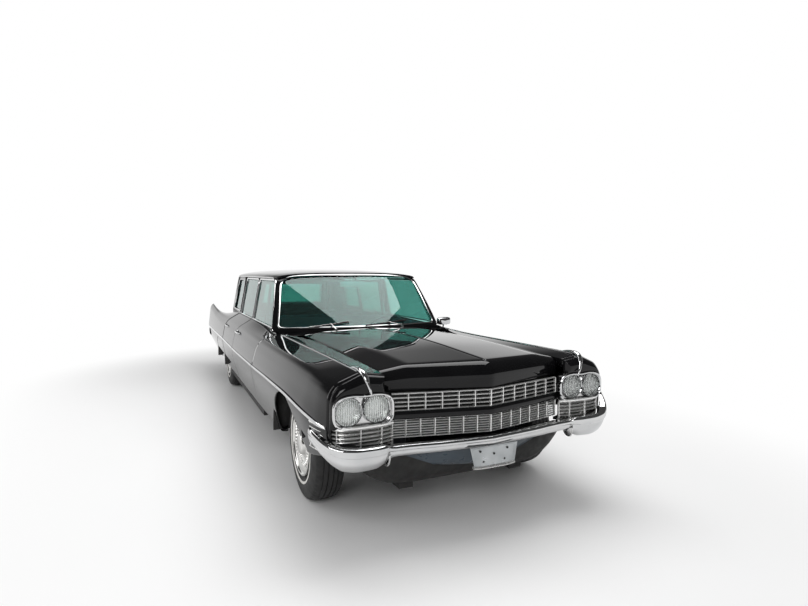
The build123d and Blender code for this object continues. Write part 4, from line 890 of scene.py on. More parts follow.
def screenPoint(u, v):
    s = screenValues
    low = np.stack([s["baseHalf"] * u, s["baseLine"] - s["baseBow"] * (1 - u * u), s["baseUp"] + 0 * u], -1)
    high = np.stack([s["topHalf"] * u, s["topLine"] - s["topBow"] * (1 - u * u),
                     s["topUp"] - s["topDrop"] * (0.35 * u * u + 0.65 * np.abs(u) ** 6)], -1)
    bulge = 4 * v * (1 - v)
    return low * (1 - v)[..., None] + high * v[..., None] + bulge[..., None] * np.array([0, -0.012, 0.006])


def screenGrid(uHalf, vLow, vHigh, nu=49, nv=25):
    u, v = np.meshgrid(np.linspace(-uHalf, uHalf, nu), np.linspace(vLow, vHigh, nv), indexing="ij")
    return screenPoint(u, v)


addPiece("windshieldGlass", gridMesh("windshieldGlass", screenGrid(0.985, 0.012, 0.985)), tintGlass, "root",
         ("windshield",),
         thick=screenValues["glass"], slot="tinted_glass")
screenInner = denseLoop([(-0.952, 0.045), (0.952, 0.045), (0.958, 0.955), (-0.958, 0.955)],
                        (0.07, 0.07, 0.16, 0.16), 400)
screenOuter = denseLoop([(-1.012, -0.005), (1.012, -0.005), (1.012, 1.0), (-1.012, 1.0)],
                        (0.02, 0.02, 0.09, 0.09), 400)
ringAngles = np.linspace(-math.pi, math.pi, 361)[:-1]


def screenRing(loop, lift=0.0):
    flat = byAngle(loop, np.array([0.0, 0.5]), ringAngles)
    return screenPoint(flat[:, 0], flat[:, 1]) + (0, -lift, lift * 0.5)


screenFrame = gridMesh("screenFrame",
                       np.stack([screenRing(screenOuter, -0.006), screenRing(screenOuter, 0.004),
                                        screenRing(screenInner, 0.007), screenRing(screenInner, -0.004)]),
                                        wrapCols=True)
addPiece("screenFrame", faceToward(screenFrame, (0, -1, 0.5)), paint, thick=0.004, slot="black_paint",
         sharp=50)
addPiece("screenTrim",
         sweepMesh("screenTrim", screenRing(screenInner, 0.009), barProfile(0.016, 0.010, 8, 0.8),
                                 lift=(0, -0.83, 0.55), closed=True), chrome, slot="bright_chrome")
print("stage: windshield made")


# Side windows: frames on the leaning plane x = belt out - lean * (z - belt), as (along, up) loops.
windowValues = {"beltOut": 0.786, "belt": 0.972, "lean": 0.1878}


def onSidePlane(points, depth=0.0):
    points = np.asarray(points, float)
    w = windowValues
    out = w["beltOut"] - w["lean"] * (points[:, 1] - w["belt"]) - depth
    return np.stack([out, points[:, 0], points[:, 1]], 1)


windowLoops = {
    "frontDoor": ([(-0.880, 0.962), (-0.600, 1.386), (0.193, 1.386), (0.193, 0.962)], "front_door"),
    "rearDoor": ([(0.257, 0.962), (0.257, 1.386), (1.078, 1.386), (1.078, 0.962)], "rear_door"),
}
sideNormal = np.array([0.9828, 0, 0.1846])
for name, (points, node) in windowLoops.items():
    path = roundedPath(np.array(points), (0, 0.045, 0.030, 0), steps=8, runSteps=14)
    frameMesh = sweepMesh(f"{name}Frame", onSidePlane(path, 0.013), barProfile(0.022, 0.028, 12, 0.6),
                          lift=sideNormal)
    addPair(f"{name}Frame", frameMesh, chrome, bodies=(f"{node}_left", f"{node}_right"), slot="bright_chrome")
    front, rear = points[0][0], points[-1][0]
    sill = evenPath(onSidePlane([(front - 0.02, 0.975), (rear + 0.02, 0.975)]) + (0.004, 0, 0), 24)
    addPair(f"{name}Sill", sweepMesh(f"{name}Sill", sill, barProfile(0.020, 0.012, 8, 0.8)), chrome,
            bodies=(f"{node}_left", f"{node}_right"), slot="bright_chrome")
quarterLoop = roundedPath(np.array([(1.158, 0.996), (1.690, 0.996), (1.660, 1.372), (1.158, 1.372)]),
                          (0.02, 0.05, 0.06, 0.02), steps=8, runSteps=10, closed=True)
addPair("quarterFrame",
        sweepMesh("quarterFrame", onSidePlane(quarterLoop, -0.001), barProfile(0.018, 0.012, 8, 0.8),
                                  lift=sideNormal, closed=True), chrome, slot="bright_chrome")
railPath = roundedPath(np.array([(0.800, -0.925, 0.955), (0.700, -0.590, 1.405), (0.722, 0.10, 1.409),
                                 (0.724, 1.10, 1.409),
                                 (0.718, 1.70, 1.407), (0.775, 1.86, 0.985)]), (0, 0.10, 0.4, 0.4, 0.12, 0),
                                 steps=12, runSteps=16)
addPair("dripRail",
        sweepMesh("dripRail", evenPath(railPath, 160), barProfile(0.012, 0.014, 8, 0.9), lift=(0.9, 0, 0.3)),
        stainless, slot="bright_chrome")
backLoop = roundedPath(np.array([(-0.450, 1.035), (0.450, 1.035), (0.440, 1.300), (-0.440, 1.300)]), 0.055,
                       steps=8, runSteps=10, closed=True)
backPlace = np.stack([backLoop[:, 0], 1.965 - (backLoop[:, 1] - 0.972) * 0.186 + 0.010, backLoop[:, 1]], 1)
addPiece("backWindowTrim",
         sweepMesh("backWindowTrim", backPlace, barProfile(0.020, 0.012, 8, 0.8), lift=(0, 0.98, 0.18),
                                     closed=True), chrome, slot="bright_chrome")
print("stage: side windows made")


# Front end: caps around the lamps, the panel between the grilles and the shell behind them
frontValues = {
    "line": -2.945, "lampLine": -2.962, "inner": 0.566,
    "bezelTop": 0.823, "bezelLow": 0.652, "bezelInner": 0.567, "bezelOuter": 0.893, "waist": 0.006,
}


# The bezel's outline: two arcs of lamp size joined by a slight waist, as (out, up) around the pair's middle.
def bezelLoop(grow=0.0, count=360):
    v = frontValues
    t = np.linspace(-math.pi, math.pi, count + 1)[:-1]
    halfWide = (v["bezelOuter"] - v["bezelInner"]) / 2 + grow
    halfHigh = (v["bezelTop"] - v["bezelLow"]) / 2 + grow
    power = 2 / 3.6
    x = halfWide * np.sign(np.cos(t)) * np.abs(np.cos(t)) ** power
    z = halfHigh * np.sign(np.sin(t)) * np.abs(np.sin(t)) ** power
    z *= 1 - v["waist"] / halfHigh * np.exp(-(x / 0.045) ** 2)
    middle = ((v["bezelOuter"] + v["bezelInner"]) / 2, (v["bezelTop"] + v["bezelLow"]) / 2)
    return np.stack([x + middle[0], z + middle[1]], 1)


def upright(loop, along):
    return np.stack([loop[:, 0], np.broadcast_to(along, len(loop)), loop[:, 1]], 1)


def lampCap():
    v = frontValues
    section = sidePaths(np.array([v["line"]]))[0]
    side = section[section[:, 1] > 0.640]
    edge = [(side[-1, 0] - 0.002, side[-1, 1]), (0.606, 0.826), (0.566, 0.812), (0.566, 0.640)]
    outer = np.concatenate([side, np.array(edge)])
    outer = evenPath(np.concatenate([outer, outer[:1]]), 900)
    middle = np.array([0.730, 0.738])
    turn = np.linspace(-math.pi, math.pi, 361)[:-1]
    outside = byAngle(outer, middle, turn)
    inside = byAngle(bezelLoop(0.004), middle, turn)
    rings = []
    for share in np.linspace(0, 1, 12):
        plan = outside * (1 - share) + inside * share
        brow = 0.030 * np.clip((plan[:, 1] - 0.79) / 0.12, 0, 1) * (1 - share) * share * 4
        along = v["line"] - 0.022 * math.sin(share * math.pi / 2) - brow
        rings.append(upright(plan, along))
    rings.append(upright(inside, v["line"] + 0.030))
    return cleanMesh(gridMesh("lampCap", np.stack(rings), wrapCols=True))


addPair("lampCap", faceToward(lampCap(), (0, -1, 0)), paint, thick=0.003, slot="black_paint", sharp=60)


# Plan line of the grilles: y = centre + rise |x|^1.05 out to the lamps.
def veeLine(x, back=0.0):
    share = np.abs(x) / 0.560
    return -3.047 + back + 0.120 * share ** 1.06


def veePanel(name, low, high, back, half=0.566, steps=81):
    x = np.linspace(-half, half, steps)
    z = np.linspace(low, high, 6)
    bulge = 0.006 * np.sin(np.linspace(0, math.pi, 6))
    grid = np.stack([np.broadcast_to(x[:, None], (steps, 6)), veeLine(x, back)[:, None] - bulge[None],
                     np.broadcast_to(z[None], (steps, 6))], -1)
    return gridMesh(name, grid)


addPiece("grilleBar", veePanel("grilleBar", 0.668, 0.706, -0.001), paint, thick=0.012, offset=1,
         slot="black_paint",
         bevel=0.002)
addPiece("grilleShell", veePanel("grilleShell", 0.552, 0.812, 0.070), underPaint, thick=0.004,
         slot="chassis_paint")
grilleTable = {"upper": (0.711, 0.803, 5, 6, 0.0080), "lower": (0.566, 0.662, 8, 7, 0.0064)}


# Each grille: level bars that follow the vee, uprights that stand square behind them, a frame and a middle
# post.
def grilleMesh():
    x = np.linspace(-0.560, 0.560, 61)
    meshes = []
    for low, high, bars, cells, thick in grilleTable.values():
        for height in np.linspace(low, high, bars):
            path = np.stack([x, veeLine(x, 0.004), np.full(61, height)], 1)
            meshes.append(sweepMesh("bar", path, barProfile(0.016, thick, 8, 0.7)))
        for out in np.linspace(-0.560, 0.560, cells * 2 + 1):
            at = veeLine(out, 0.008)
            wide = 0.0060 if abs(out) > 0.01 else 0.008
            path = np.array([(out, at - 0.004, low), (out, at - 0.004, (low + high) / 2),
                             (out, at - 0.004, high)])
            meshes.append(sweepMesh("post", path, barProfile(wide, 0.022, 8, 0.7), lift=(0, 1, 0)))
    return joinMeshes("grilleBars", meshes)


addPiece("grilleBars", grilleMesh(), grilleMetal, stands=("grille",), slot="bright_chrome")
print("stage: front end made")


# Headlamps: bezel ring around each pair, bright inner rings, a reflector bowl and a fluted lens in each
lampValues = {"out": (0.816, 0.660), "up": (0.742, 0.746), "radius": 0.073, "line": -2.968, "dome": 0.014}


def bezelRing():
    ring = upright(bezelLoop(), frontValues["lampLine"] - 0.006)
    return sweepMesh("bezelRing", ring, barProfile(0.015, 0.020, 10, 0.9), lift=(0, -1, 0), closed=True)


def frontTurned(name, profile, centre, count=72, wrap=False):
    profile = np.asarray(profile, float)
    t = np.linspace(0, 2 * math.pi, count, endpoint=False)[:, None]
    along, r = profile[None, :, 0], profile[None, :, 1]
    grid = np.stack([centre[0] + r * np.cos(t), centre[1] + along + 0 * t, centre[2] + r * np.sin(t)], -1)
    return cleanMesh(gridMesh(name, grid, wrapCols=wrap, wrapRows=True))


def lampFace():
    middle = np.array([0.738, 0.744])
    turn = np.linspace(-math.pi, math.pi, 241)[:-1]
    rings = [upright(byAngle(bezelLoop(-0.004), middle, turn) * s + middle * (1 - s),
                     frontValues["lampLine"] + d)
             for s, d in ((1.0, 0.0), (0.97, 0.012), (0.5, 0.016), (0.0, 0.016))]
    return gridMesh("lampFace", np.stack(rings), wrapCols=True)


def lampMeshes():
    v = lampValues
    rim, bowl, lens = [], [], []
    for out, up in zip(v["out"], v["up"]):
        centre = (out, v["line"], up)
        rim.append(frontTurned("rim", [(0.018, 0.0775), (-0.004, 0.0770), (-0.009, 0.0745), (-0.006, 0.0715),
                                       (0.004, 0.0705), (0.018, 0.0705)], centre, wrap=True))
        s = np.linspace(0, 1, 12)
        bowl.append(frontTurned("bowl", np.stack([0.004 + 0.040 * (1 - s ** 2), 0.0700 * s], 1), centre))
        r = np.linspace(0, 0.0700, 16)
        face = -v["dome"] * (1 - (r / 0.0700) ** 2)
        lens.append(frontTurned("lens",
                                np.concatenate([np.stack([face, r], 1),
                                                np.stack([face[::-1] + 0.003, r[::-1]], 1)]),
                                centre))
    return rim, bowl, lens


rimMeshes, bowlMeshes, lensMeshes = lampMeshes()
addPair("lampBezel", joinMeshes("lampBezel", [bezelRing(), *rimMeshes]), chrome,
        stands=(("lamp_bezels",), ()),
        slot="bright_chrome")
addPair("lampBacking", cleanMesh(lampFace()), stainless, slot="bright_chrome", thick=0.002, offset=0)
addPair("lampBowl", faceToward(joinMeshes("lampBowl", bowlMeshes), (0, -1, 0)), reflector,
        slot="bright_chrome", thick=0.001)


# Lens glass: fluting by a wave texture in the normal, over the plain domed shape.
def flutedGlass():
    material, tree, shader = newMaterial("flutedGlass")
    shader.inputs["Base Color"].default_value = (*glassValues["lens"], 1)
    shader.inputs["Transmission Weight"].default_value = 1.0
    shader.inputs["Roughness"].default_value = 0.03
    shader.inputs["IOR"].default_value = 1.45
    place = tree.nodes.new("ShaderNodeTexCoord")
    wave = tree.nodes.new("ShaderNodeTexWave")
    wave.bands_direction = "X"
    wave.inputs["Scale"].default_value = 28.0
    wave.inputs["Distortion"].default_value = 1.5
    wave.inputs["Detail"].default_value = 1.0
    relief = tree.nodes.new("ShaderNodeBump")
    relief.inputs["Strength"].default_value = 0.9
    relief.inputs["Distance"].default_value = 0.004
    tree.links.new(place.outputs["Object"], wave.inputs["Vector"])
    tree.links.new(wave.outputs["Fac"], relief.inputs["Height"])
    tree.links.new(relief.outputs["Normal"], shader.inputs["Normal"])
    return material


lensGlass = flutedGlass()
addPair("lampLens", joinMeshes("lampLens", lensMeshes), lensGlass, stands=(("headlamps",), ()),
        slot="lamp_glass")


# Corner lamps: level ribs that wrap from the grille's end round to the side, over a dark lens, crossed by
# posts
cornerValues = {"low": 0.522, "high": 0.650, "ribs": 7, "thick": 0.008}
cornerPlan = np.array([(0.566, -2.955), (0.640, -2.978), (0.800, -2.980), (0.885, -2.955), (0.932, -2.850),
                       (0.950, -2.740)])


def cornerPath(lift=0.0, count=70):
    path = evenPath(roundedPath(cornerPlan, (0, 0.06, 0.10, 0.06, 0.10, 0), steps=10, runSteps=8), count)
    run = np.gradient(path, axis=0)
    side = np.stack([run[:, 1], -run[:, 0]], 1) / np.linalg.norm(run, axis=1, keepdims=True)
    return path + side * lift


def cornerMesh():
    v = cornerValues
    meshes = []
    for height in np.linspace(v["low"], v["high"], v["ribs"]):
        flat = cornerPath(0.0)
        lean = (v["high"] - height) * 0.06
        path = np.concatenate([flat + (0, lean), np.full((len(flat), 1), height)], 1)
        meshes.append(sweepMesh("rib", path, barProfile(0.018, v["thick"], 10, 0.8)))
    flat = cornerPath(0.001)
    for k in (0, 9, 24, 40, 69):
        post = np.array([(*flat[k], v["low"]), (*flat[k], (v["low"] + v["high"]) / 2), (*flat[k], v["high"])])
        meshes.append(sweepMesh("post", post, barProfile(0.006, 0.018, 8, 0.8), lift=(0, 1, 0)))
    top = np.concatenate([cornerPath(0.003), np.full((70, 1), v["high"] + 0.010)], 1)
    meshes.append(sweepMesh("band", top, barProfile(0.020, 0.016, 10, 0.8)))
    return joinMeshes("cornerRibs", meshes)


def cornerLens():
    flat = cornerPath(-0.012)
    z = np.linspace(cornerValues["low"] - 0.004, cornerValues["high"] + 0.004, 8)
    grid = np.concatenate([np.broadcast_to(flat[:, None], (len(flat), 8, 2)),
                           np.broadcast_to(z[None, :, None], (len(flat), 8, 1))], -1)
    return gridMesh("cornerLens", grid)


cornerGlass = finish("cornerLens", (0.10, 0.10, 0.10), (0.22, 0.22, 0.21), (0.08, 0.16), metallic=0.9,
                     coat=0.6)
addPair("cornerRibs", cornerMesh(), grilleMetal, slot="bright_chrome")
addPair("cornerLens", faceToward(cornerLens(), (0, -1, 0)), cornerGlass, slot="bright_chrome", thick=0.004)
print("stage: lamps made")


# Front bumper: sections from the middle to the wing tip, each a rounded C from the shelf to the lower edge.
bumperTable = {
    "out": (0.0, 0.30, 0.565, 0.600, 0.625, 0.680, 0.770, 0.860, 0.925, 0.968, 1.004),
    "face": (-3.086, -3.060, -3.026, -3.026, -3.040, -3.052, -3.054, -3.036, -3.000, -2.950, -2.880),
    "high": (0.545, 0.547, 0.549, 0.553, 0.564, 0.566, 0.568, 0.574, 0.590, 0.620, 0.660),
    "low": (0.482, 0.482, 0.482, 0.476, 0.452, 0.434, 0.430, 0.440, 0.478, 0.526, 0.585),
    "deep": (0.060, 0.060, 0.055, 0.060, 0.075, 0.080, 0.080, 0.080, 0.060, 0.040, 0.022),
    "belly": (0.004, 0.004, 0.004, 0.006, 0.012, 0.018, 0.020, 0.018, 0.012, 0.008, 0.004),
    "step": (0.004, 0.004, 0.004, 0.006, 0.012, 0.015, 0.015, 0.015, 0.011, 0.006, 0.002),
}


def bumperMesh(name, table, sign=1):
    out = np.unique(np.concatenate([np.linspace(0, table["out"][-1], 70), table["out"]]).round(2))
    out[-1] = table["out"][-1]
    row = {key: smoothRow(out, table["out"], table[key]) for key in table if key != "out"}
    face, high, low, deep, belly, step = (row[key]
                                          for key in ("face", "high", "low", "deep", "belly", "step"))
    lip = high - 0.34 * (high - low)
    turn = np.arctan(np.gradient(face, out))
    side = np.stack([np.sin(turn) * 0.8, -np.cos(turn)], 1)
    profile = [(deep, high), (belly * 0.5 + 0.004, high + 0.001), (0 * deep, high - 0.010), (0 * deep, lip),
               (step, lip - 0.004), (step + belly * 0.2, (lip + low) / 2),
               (belly + step + 0.010, low + 0.004),
               (deep * 0.9, low + 0.002)]
    points = np.stack([np.stack([out - back * side[:, 0] * sign, face - back * side[:, 1], up], -1)
                       for back, up in profile], 1)
    grid = roundedPath(points, (0, 0.010, 0.006, 0.003, 0.003, 0.016, 0.016, 0), steps=5, runSteps=2)
    whole = np.concatenate([grid[::-1] * (-1, 1, 1), grid[1:]])
    whole[..., 0] = np.clip(whole[..., 0], -1.008, 1.008)
    return gridMesh(name, whole)


addPiece("frontBumper", faceToward(bumperMesh("frontBumper", bumperTable), (0, -1, 0)), chrome,
         stands=("front_bumper",), thick=0.004,
         slot="bright_chrome", sharp=60, even=False)


# The dark panel that hangs between the pods.
def valanceMesh():
    x = np.linspace(-0.60, 0.60, 61)
    t = np.linspace(0, 1, 12)
    low = 0.345 + 0.075 * np.abs(x / 0.60) ** 2.2
    up = 0.486 * (1 - t)[None] + low[:, None] * t[None]
    along = veeLine(x, 0.030)[:, None] + 0.085 * t[None] ** 1.6
    return gridMesh("valance", np.stack([np.broadcast_to(x[:, None], up.shape), along, up], -1))


addPiece("valance", faceToward(valanceMesh(), (0, -1, 0)), valancePaint, thick=0.003, slot="black_paint")


# The number plate's bracket: a pressed panel that narrows downward, with a folded rim, black discs as painted
# shade where its holes are, and a bright lower lip
bracketValues = {"topHalf": 0.157, "lowHalf": 0.132, "high": 0.498, "low": 0.384, "along": -3.088,
                 "holes": ((0.0, 0.448), (-0.090, 0.470), (0.090, 0.470), (-0.070, 0.410), (0.070, 0.410))}


def bracketMesh():
    v = bracketValues
    s, t = np.linspace(-1, 1, 61)[:, None], np.linspace(0, 1, 33)[None]
    half = v["topHalf"] + (v["lowHalf"] - v["topHalf"]) * t
    edge = np.clip((np.abs(s) - 0.90) / 0.06, 0, 1) + np.clip((0.10 - t) / 0.06, 0, 1)
    along = v["along"] + 0.006 * (1 - np.clip(edge, 0, 1)) + 0.003 * np.cos(t * math.pi)
    grid = gridPoints(s * half, along, v["high"] + (v["low"] - v["high"]) * t)
    return faceToward(gridMesh("plateBracket", grid), (0, -1, 0))


addPiece("plateBracket", bracketMesh(), bracketMetal, thick=0.003, slot="bare_steel", offset=-1)
# Painted shade: black discs on the bracket stand in for the dark seen through its holes.
holeShadeDiscs = [frontTurned("hole", [(0.0, 0.0), (0.0, 0.0065), (0.004, 0.0065), (0.004, 0.0)],
                          (out, bracketValues["along"] + 0.0035, up), 24)
              for out, up in bracketValues["holes"]]
addPiece("bracketHoleShade", joinMeshes("bracketHoleShade", holeShadeDiscs), blackRubber, slot="dark_trim")
lip = np.array([(x, -3.083, 0.378 + 0.006 * (x / 0.13) ** 4) for x in np.linspace(-0.136, 0.136, 24)])
addPiece("bracketLip", sweepMesh("bracketLip", lip, barProfile(0.022, 0.018, 12)), grilleMetal,
         slot="bright_chrome")
print("stage: front bumper made")


# Wheels: a tyre with a grooved tread and notched shoulders, a narrow white stripe, a steel rim and a turbine
# cover
wheelValues = {
    "out": 0.7745, "up": 0.359, "front": -2.190, "rear": 1.615, "segments": 240, "ribs": 40,
    "ribDeep": 0.0045,
    "stripe": (0.236, 0.252),
}
tyreProfile = [(-0.072, 0.204), (-0.088, 0.212), (-0.101, 0.240), (-0.1035, 0.270), (-0.100, 0.300),
               (-0.093, 0.326),
               (-0.084, 0.343), (-0.070, 0.351)]
coverProfile = [(0.012, 0.204), (0.020, 0.2045), (0.024, 0.200), (0.023, 0.194), (0.014, 0.188),
                (0.010, 0.180),
                (0.016, 0.166), (0.020, 0.150), (0.018, 0.132), (0.010, 0.116), (0.000, 0.104),
                (-0.004, 0.092),
                (-0.002, 0.080), (0.010, 0.072), (0.022, 0.066), (0.028, 0.058), (0.031, 0.040),
                (0.033, 0.020),
                (0.0335, 0.0)]


def tyreMesh():
    side = roundedPath(np.array(tyreProfile), 0.010, steps=4, runSteps=1)
    tread = np.linspace(-0.070, 0.070, 57)
    crown = 0.351 + 0.0078 * (1 - np.abs(tread / 0.070) ** 2.4)
    groove = np.zeros(57)
    for centre in (-0.046, -0.016, 0.016, 0.046):
        groove = np.maximum(groove, 0.008 * np.exp(-((tread - centre) / 0.0028) ** 4))
    outer = np.concatenate([side, np.stack([tread, crown - groove], 1)[1:-1], (side * (-1, 1))[::-1]])
    inner = np.array([(0.064, 0.200), (0.086, 0.250), (0.080, 0.320), (0.0, 0.336), (-0.080, 0.320),
                      (-0.086, 0.250),
                      (-0.064, 0.200)])
    profile = np.concatenate([outer, inner])
    t = np.linspace(0, 2 * math.pi, wheelValues["segments"], endpoint=False)[:, None]
    notch = (np.sin(t * 60) > 0.35) * np.exp(-((np.abs(profile[None, :, 0]) - 0.078) / 0.010) ** 4)
    r = profile[None, :, 1] - 0.005 * notch * (profile[None, :, 1] > 0.338)
    a = np.broadcast_to(profile[None, :, 0], r.shape)
    v = wheelValues
    grid = np.stack([v["out"] + a, r * np.sin(t), v["up"] + r * np.cos(t)], -1)
    return cleanMesh(gridMesh("tyre", grid, wrapCols=True, wrapRows=True), 0.00001)


def wheelTurned(name, profile, count=96):
    v = wheelValues
    profile = np.asarray(profile, float)
    grid = turned(profile, (v["out"], 0, v["up"]), count)
    return cleanMesh(gridMesh(name, grid, wrapCols=True, wrapRows=True))


def stripeMesh():
    low, high = wheelValues["stripe"]
    r = np.linspace(low, high, 6)
    side = np.array(tyreProfile)
    a = np.interp(r, side[:, 1], -side[:, 0])
    lift = 0.0016 * np.array([0, 1, 1, 1, 1, 0])
    profile = np.concatenate([np.stack([a + lift, r], 1), np.stack([a[::-1] - 0.002, r[::-1]], 1)])
    return wheelTurned("whiteStripe", profile, 144)


def coverMesh():
    v = wheelValues
    profile = roundedPath(np.array(coverProfile), 0.005, steps=3, runSteps=0)
    back = np.array(coverProfile)[::-1] - (0.0075, 0)
    whole = np.concatenate([profile, back])
    t = np.linspace(0, 2 * math.pi, v["ribs"] * 6, endpoint=False)[:, None]
    a, r = whole[None, :, 0], whole[None, :, 1]
    window = np.clip((r - 0.106) / 0.012, 0, 1) * np.clip((0.182 - r) / 0.010, 0, 1)
    wave = np.abs(np.sin(t * v["ribs"] / 2)) ** 0.6
    a = a - v["ribDeep"] * 1.6 * (1 - wave) * window
    grid = np.stack([v["out"] + 0.080 + a, r * np.sin(t), v["up"] + r * np.cos(t)], -1)
    return cleanMesh(gridMesh("wheelCover", grid, wrapCols=True, wrapRows=True))


def shifted(mesh, name, move):
    copy = mesh.copy()
    copy.name = name
    points = np.empty(len(copy.vertices) * 3)
    copy.vertices.foreach_get("co", points)
    copy.vertices.foreach_set("co", (points.reshape(-1, 3) + move).reshape(-1))
    copy.update()
    return copy


rimProfile = [(0.078, 0.205), (0.080, 0.198), (0.070, 0.192), (0.040, 0.186), (0.020, 0.172), (-0.030, 0.172),
              (-0.050, 0.190), (-0.076, 0.194), (-0.080, 0.204), (-0.074, 0.204), (-0.070, 0.199),
              (-0.048, 0.196),
              (-0.028, 0.178), (0.018, 0.178), (0.040, 0.194), (0.068, 0.199), (0.072, 0.205)]
discProfile = [(0.020, 0.176), (0.034, 0.150), (0.030, 0.110), (0.034, 0.070), (0.034, 0.024), (0.028, 0.024),
               (0.028, 0.070), (0.024, 0.110), (0.028, 0.150), (0.014, 0.176)]
drumProfile = [(-0.012, 0.022), (-0.012, 0.145), (-0.018, 0.150), (-0.066, 0.150), (-0.070, 0.145),
               (-0.070, 0.030),
               (-0.060, 0.022)]
wheelParts = {
    "tyre": (tyreMesh(), tyreRubber, "tyre_{}", "tyre_rubber"),
    "whiteStripe": (stripeMesh(), whiteBand, None, "tyre_rubber"),
    "wheelCover": (coverMesh(), coverMetal, "wheel_{}", "bright_chrome"),
    "wheelRim": (joinMeshes("wheelRim", [wheelTurned("rim", rimProfile), wheelTurned("disc", discProfile)]),
                 underPaint, None, "chassis_paint"),
    "brakeDrum": (wheelTurned("brakeDrum", drumProfile), castIron, None, "engine_iron"),
}
for end in ("front", "rear"):
    for name, (mesh, material, node, slot) in wheelParts.items():
        stands = ((node.format(f"{end}_left"),), (node.format(f"{end}_right"),)) if node else ((), ())
        addPair(f"{name}{end.title()}", shifted(mesh, name, (0, wheelValues[end], 0)), material,
                bodies=(f"{end}_wheel_left", f"{end}_wheel_right"), stands=stands, slot=slot, sharp=50)
print("stage: wheels made")


# Cowl: from the hood's rear edge to the windshield's base, with a row of slots pressed in
cowlValues = {"half": 0.752, "slots": 26, "slotDeep": 0.003}


def cowlMesh():
    v = cowlValues
    x = np.linspace(-v["half"], v["half"], 209)[:, None]
    t = np.linspace(0, 1, 25)[None]
    rearUp = smoothRow(np.abs(x), (0, 0.45, 0.602, 0.80), (0.970, 0.958, 0.936, 0.930))
    front, back = -1.172, -0.905 - 0.170 * (1 - (x / 0.8) ** 2)
    y = front * (1 - t) + back * t
    z = rearUp * (1 - t) + 0.943 * t - 0.004 * np.sin(math.pi * t)
    window = np.exp(-((t - 0.42) / 0.20) ** 6) * (np.abs(x) < 0.56)
    slot = (0.5 + 0.5 * np.cos(x / 1.12 * v["slots"] * 2 * math.pi)) ** 3
    z = z - v["slotDeep"] * window * slot
    return gridMesh("cowlTop", gridPoints(x, y, z))


addPiece("cowlTop", cowlMesh(), paint, thick=0.003, slot="black_paint")


# Deck between the cabin and the trunk lid, the lid's own surface carried forward
def deckMesh():
    across = np.linspace(-1, 1, 41)[:, None]
    along = np.linspace(1.880, 2.054, 12)[None]
    crown = 0.016 * (1 - np.abs(across) ** 2.2)
    z = smoothRow(along[0], sideTable["along"], sideTable["innerUp"])[None] + crown
    half = smoothRow(along[0], sideTable["along"], sideTable["innerOut"])[None] - 0.002
    grid = gridPoints(across * half, along, z)
    lip = grid[:, -1:] + (0, 0, -0.014)
    return gridMesh("deckPanel", np.concatenate([grid, lip], 1))


addPiece("deckPanel", deckMesh(), paint, thick=0.004, slot="black_paint")


# Chrome runs along a side: each panel carries its own length of the spear, at the widest line
trimValues = {"front": -2.912, "rear": 2.978, "wide": 0.009, "high": 0.020}


def spearMesh(name, start, end, tip=False):
    along = np.linspace(start, end, max(int((end - start) / 0.03), 12))
    v = sideValues(along)
    path = np.stack([v["trimOut"] - 0.0005, along, v["trimUp"]], 1)
    taper = np.clip((along - start) / 0.05, 0.15, 1) if tip else None
    return sweepMesh(name, path, barProfile(trimValues["wide"], trimValues["high"], 12, 0.9), taper=taper)


for name, start, end, body, tip in (
        ("fenderSpear", trimValues["front"], panelLines["fenderRear"], "root", True),
        ("frontDoorSpear", panelLines["doorFront"] + 0.002, panelLines["postFront"] - 0.004, "front_door",
         False),
        ("rearDoorSpear", panelLines["postRear"] + 0.002, panelLines["doorRear"] - 0.004, "rear_door", False),
        ("quarterSpear", panelLines["quarterFront"] + 0.002, trimValues["rear"], "root", False)):
    bodies = ("root", "root") if body == "root" else (f"{body}_left", f"{body}_right")
    addPair(name, spearMesh(name, start, end, tip), chrome, bodies=bodies, slot="bright_chrome")


# Fender ridge strips and the blade that turns down the fender's front
def ridgeStrips():
    along = np.linspace(-2.900, -1.120, 60)
    v = sideValues(along)
    meshes = []
    for shift in (-0.0065, 0.0065):
        path = np.stack([v["ridgeOut"] + shift, along, v["ridgeUp"] + 0.0005], 1)
        meshes.append(sweepMesh("strip", path, barProfile(0.0075, 0.008, 10, 0.9)))
    blade = roundedPath(np.array([(0.737, -2.780, 0.936), (0.735, -2.860, 0.950), (0.731, -2.936, 0.944),
                                  (0.722, -2.972, 0.915), (0.706, -2.986, 0.862), (0.694, -2.988, 0.826)]),
                        0.04, steps=6, runSteps=4)
    share = np.linspace(0, 1, len(blade))
    taper = 0.35 + 0.65 * np.sin(math.pi * np.clip(share * 1.05, 0, 1)) ** 0.8
    meshes.append(sweepMesh("blade", blade, barProfile(0.030, 0.024, 14, 0.8), lift=(0, -0.35, 0.94),
                            taper=taper))
    return joinMeshes("ridgeTrim", meshes)


addPair("ridgeTrim", ridgeStrips(), chrome, slot="bright_chrome")


# Door handles: a bar that stands off the skin on two feet, and a push button
handleTable = {"frontHandle": ("front_door", 0.057, 0.851), "rearHandle": ("rear_door", 0.925, 0.841)}


def handleMesh(name, along, up):
    side = 0.958
    path = roundedPath(np.array([(side - 0.012, along - 0.085, up), (side + 0.020, along - 0.072, up),
                                 (side + 0.024, along, up + 0.002), (side + 0.020, along + 0.060, up),
                                 (side - 0.012, along + 0.074, up)]), 0.016, steps=6, runSteps=4)
    bar = sweepMesh("bar", path, barProfile(0.009, 0.019, 12, 0.9))
    t = np.linspace(0, 2 * math.pi, 24, endpoint=False)[:, None]
    r = np.array([0.0, 0.012, 0.0115, 0.0095, 0.0])[None]
    out = np.array([-0.010, -0.010, 0.010, 0.013, 0.014])[None]
    button = np.stack([side + out + 0 * t, along + 0.090 + r * np.sin(t), up + r * np.cos(t)], -1)
    return joinMeshes(name, [bar, cleanMesh(gridMesh("button", button, wrapRows=True))])


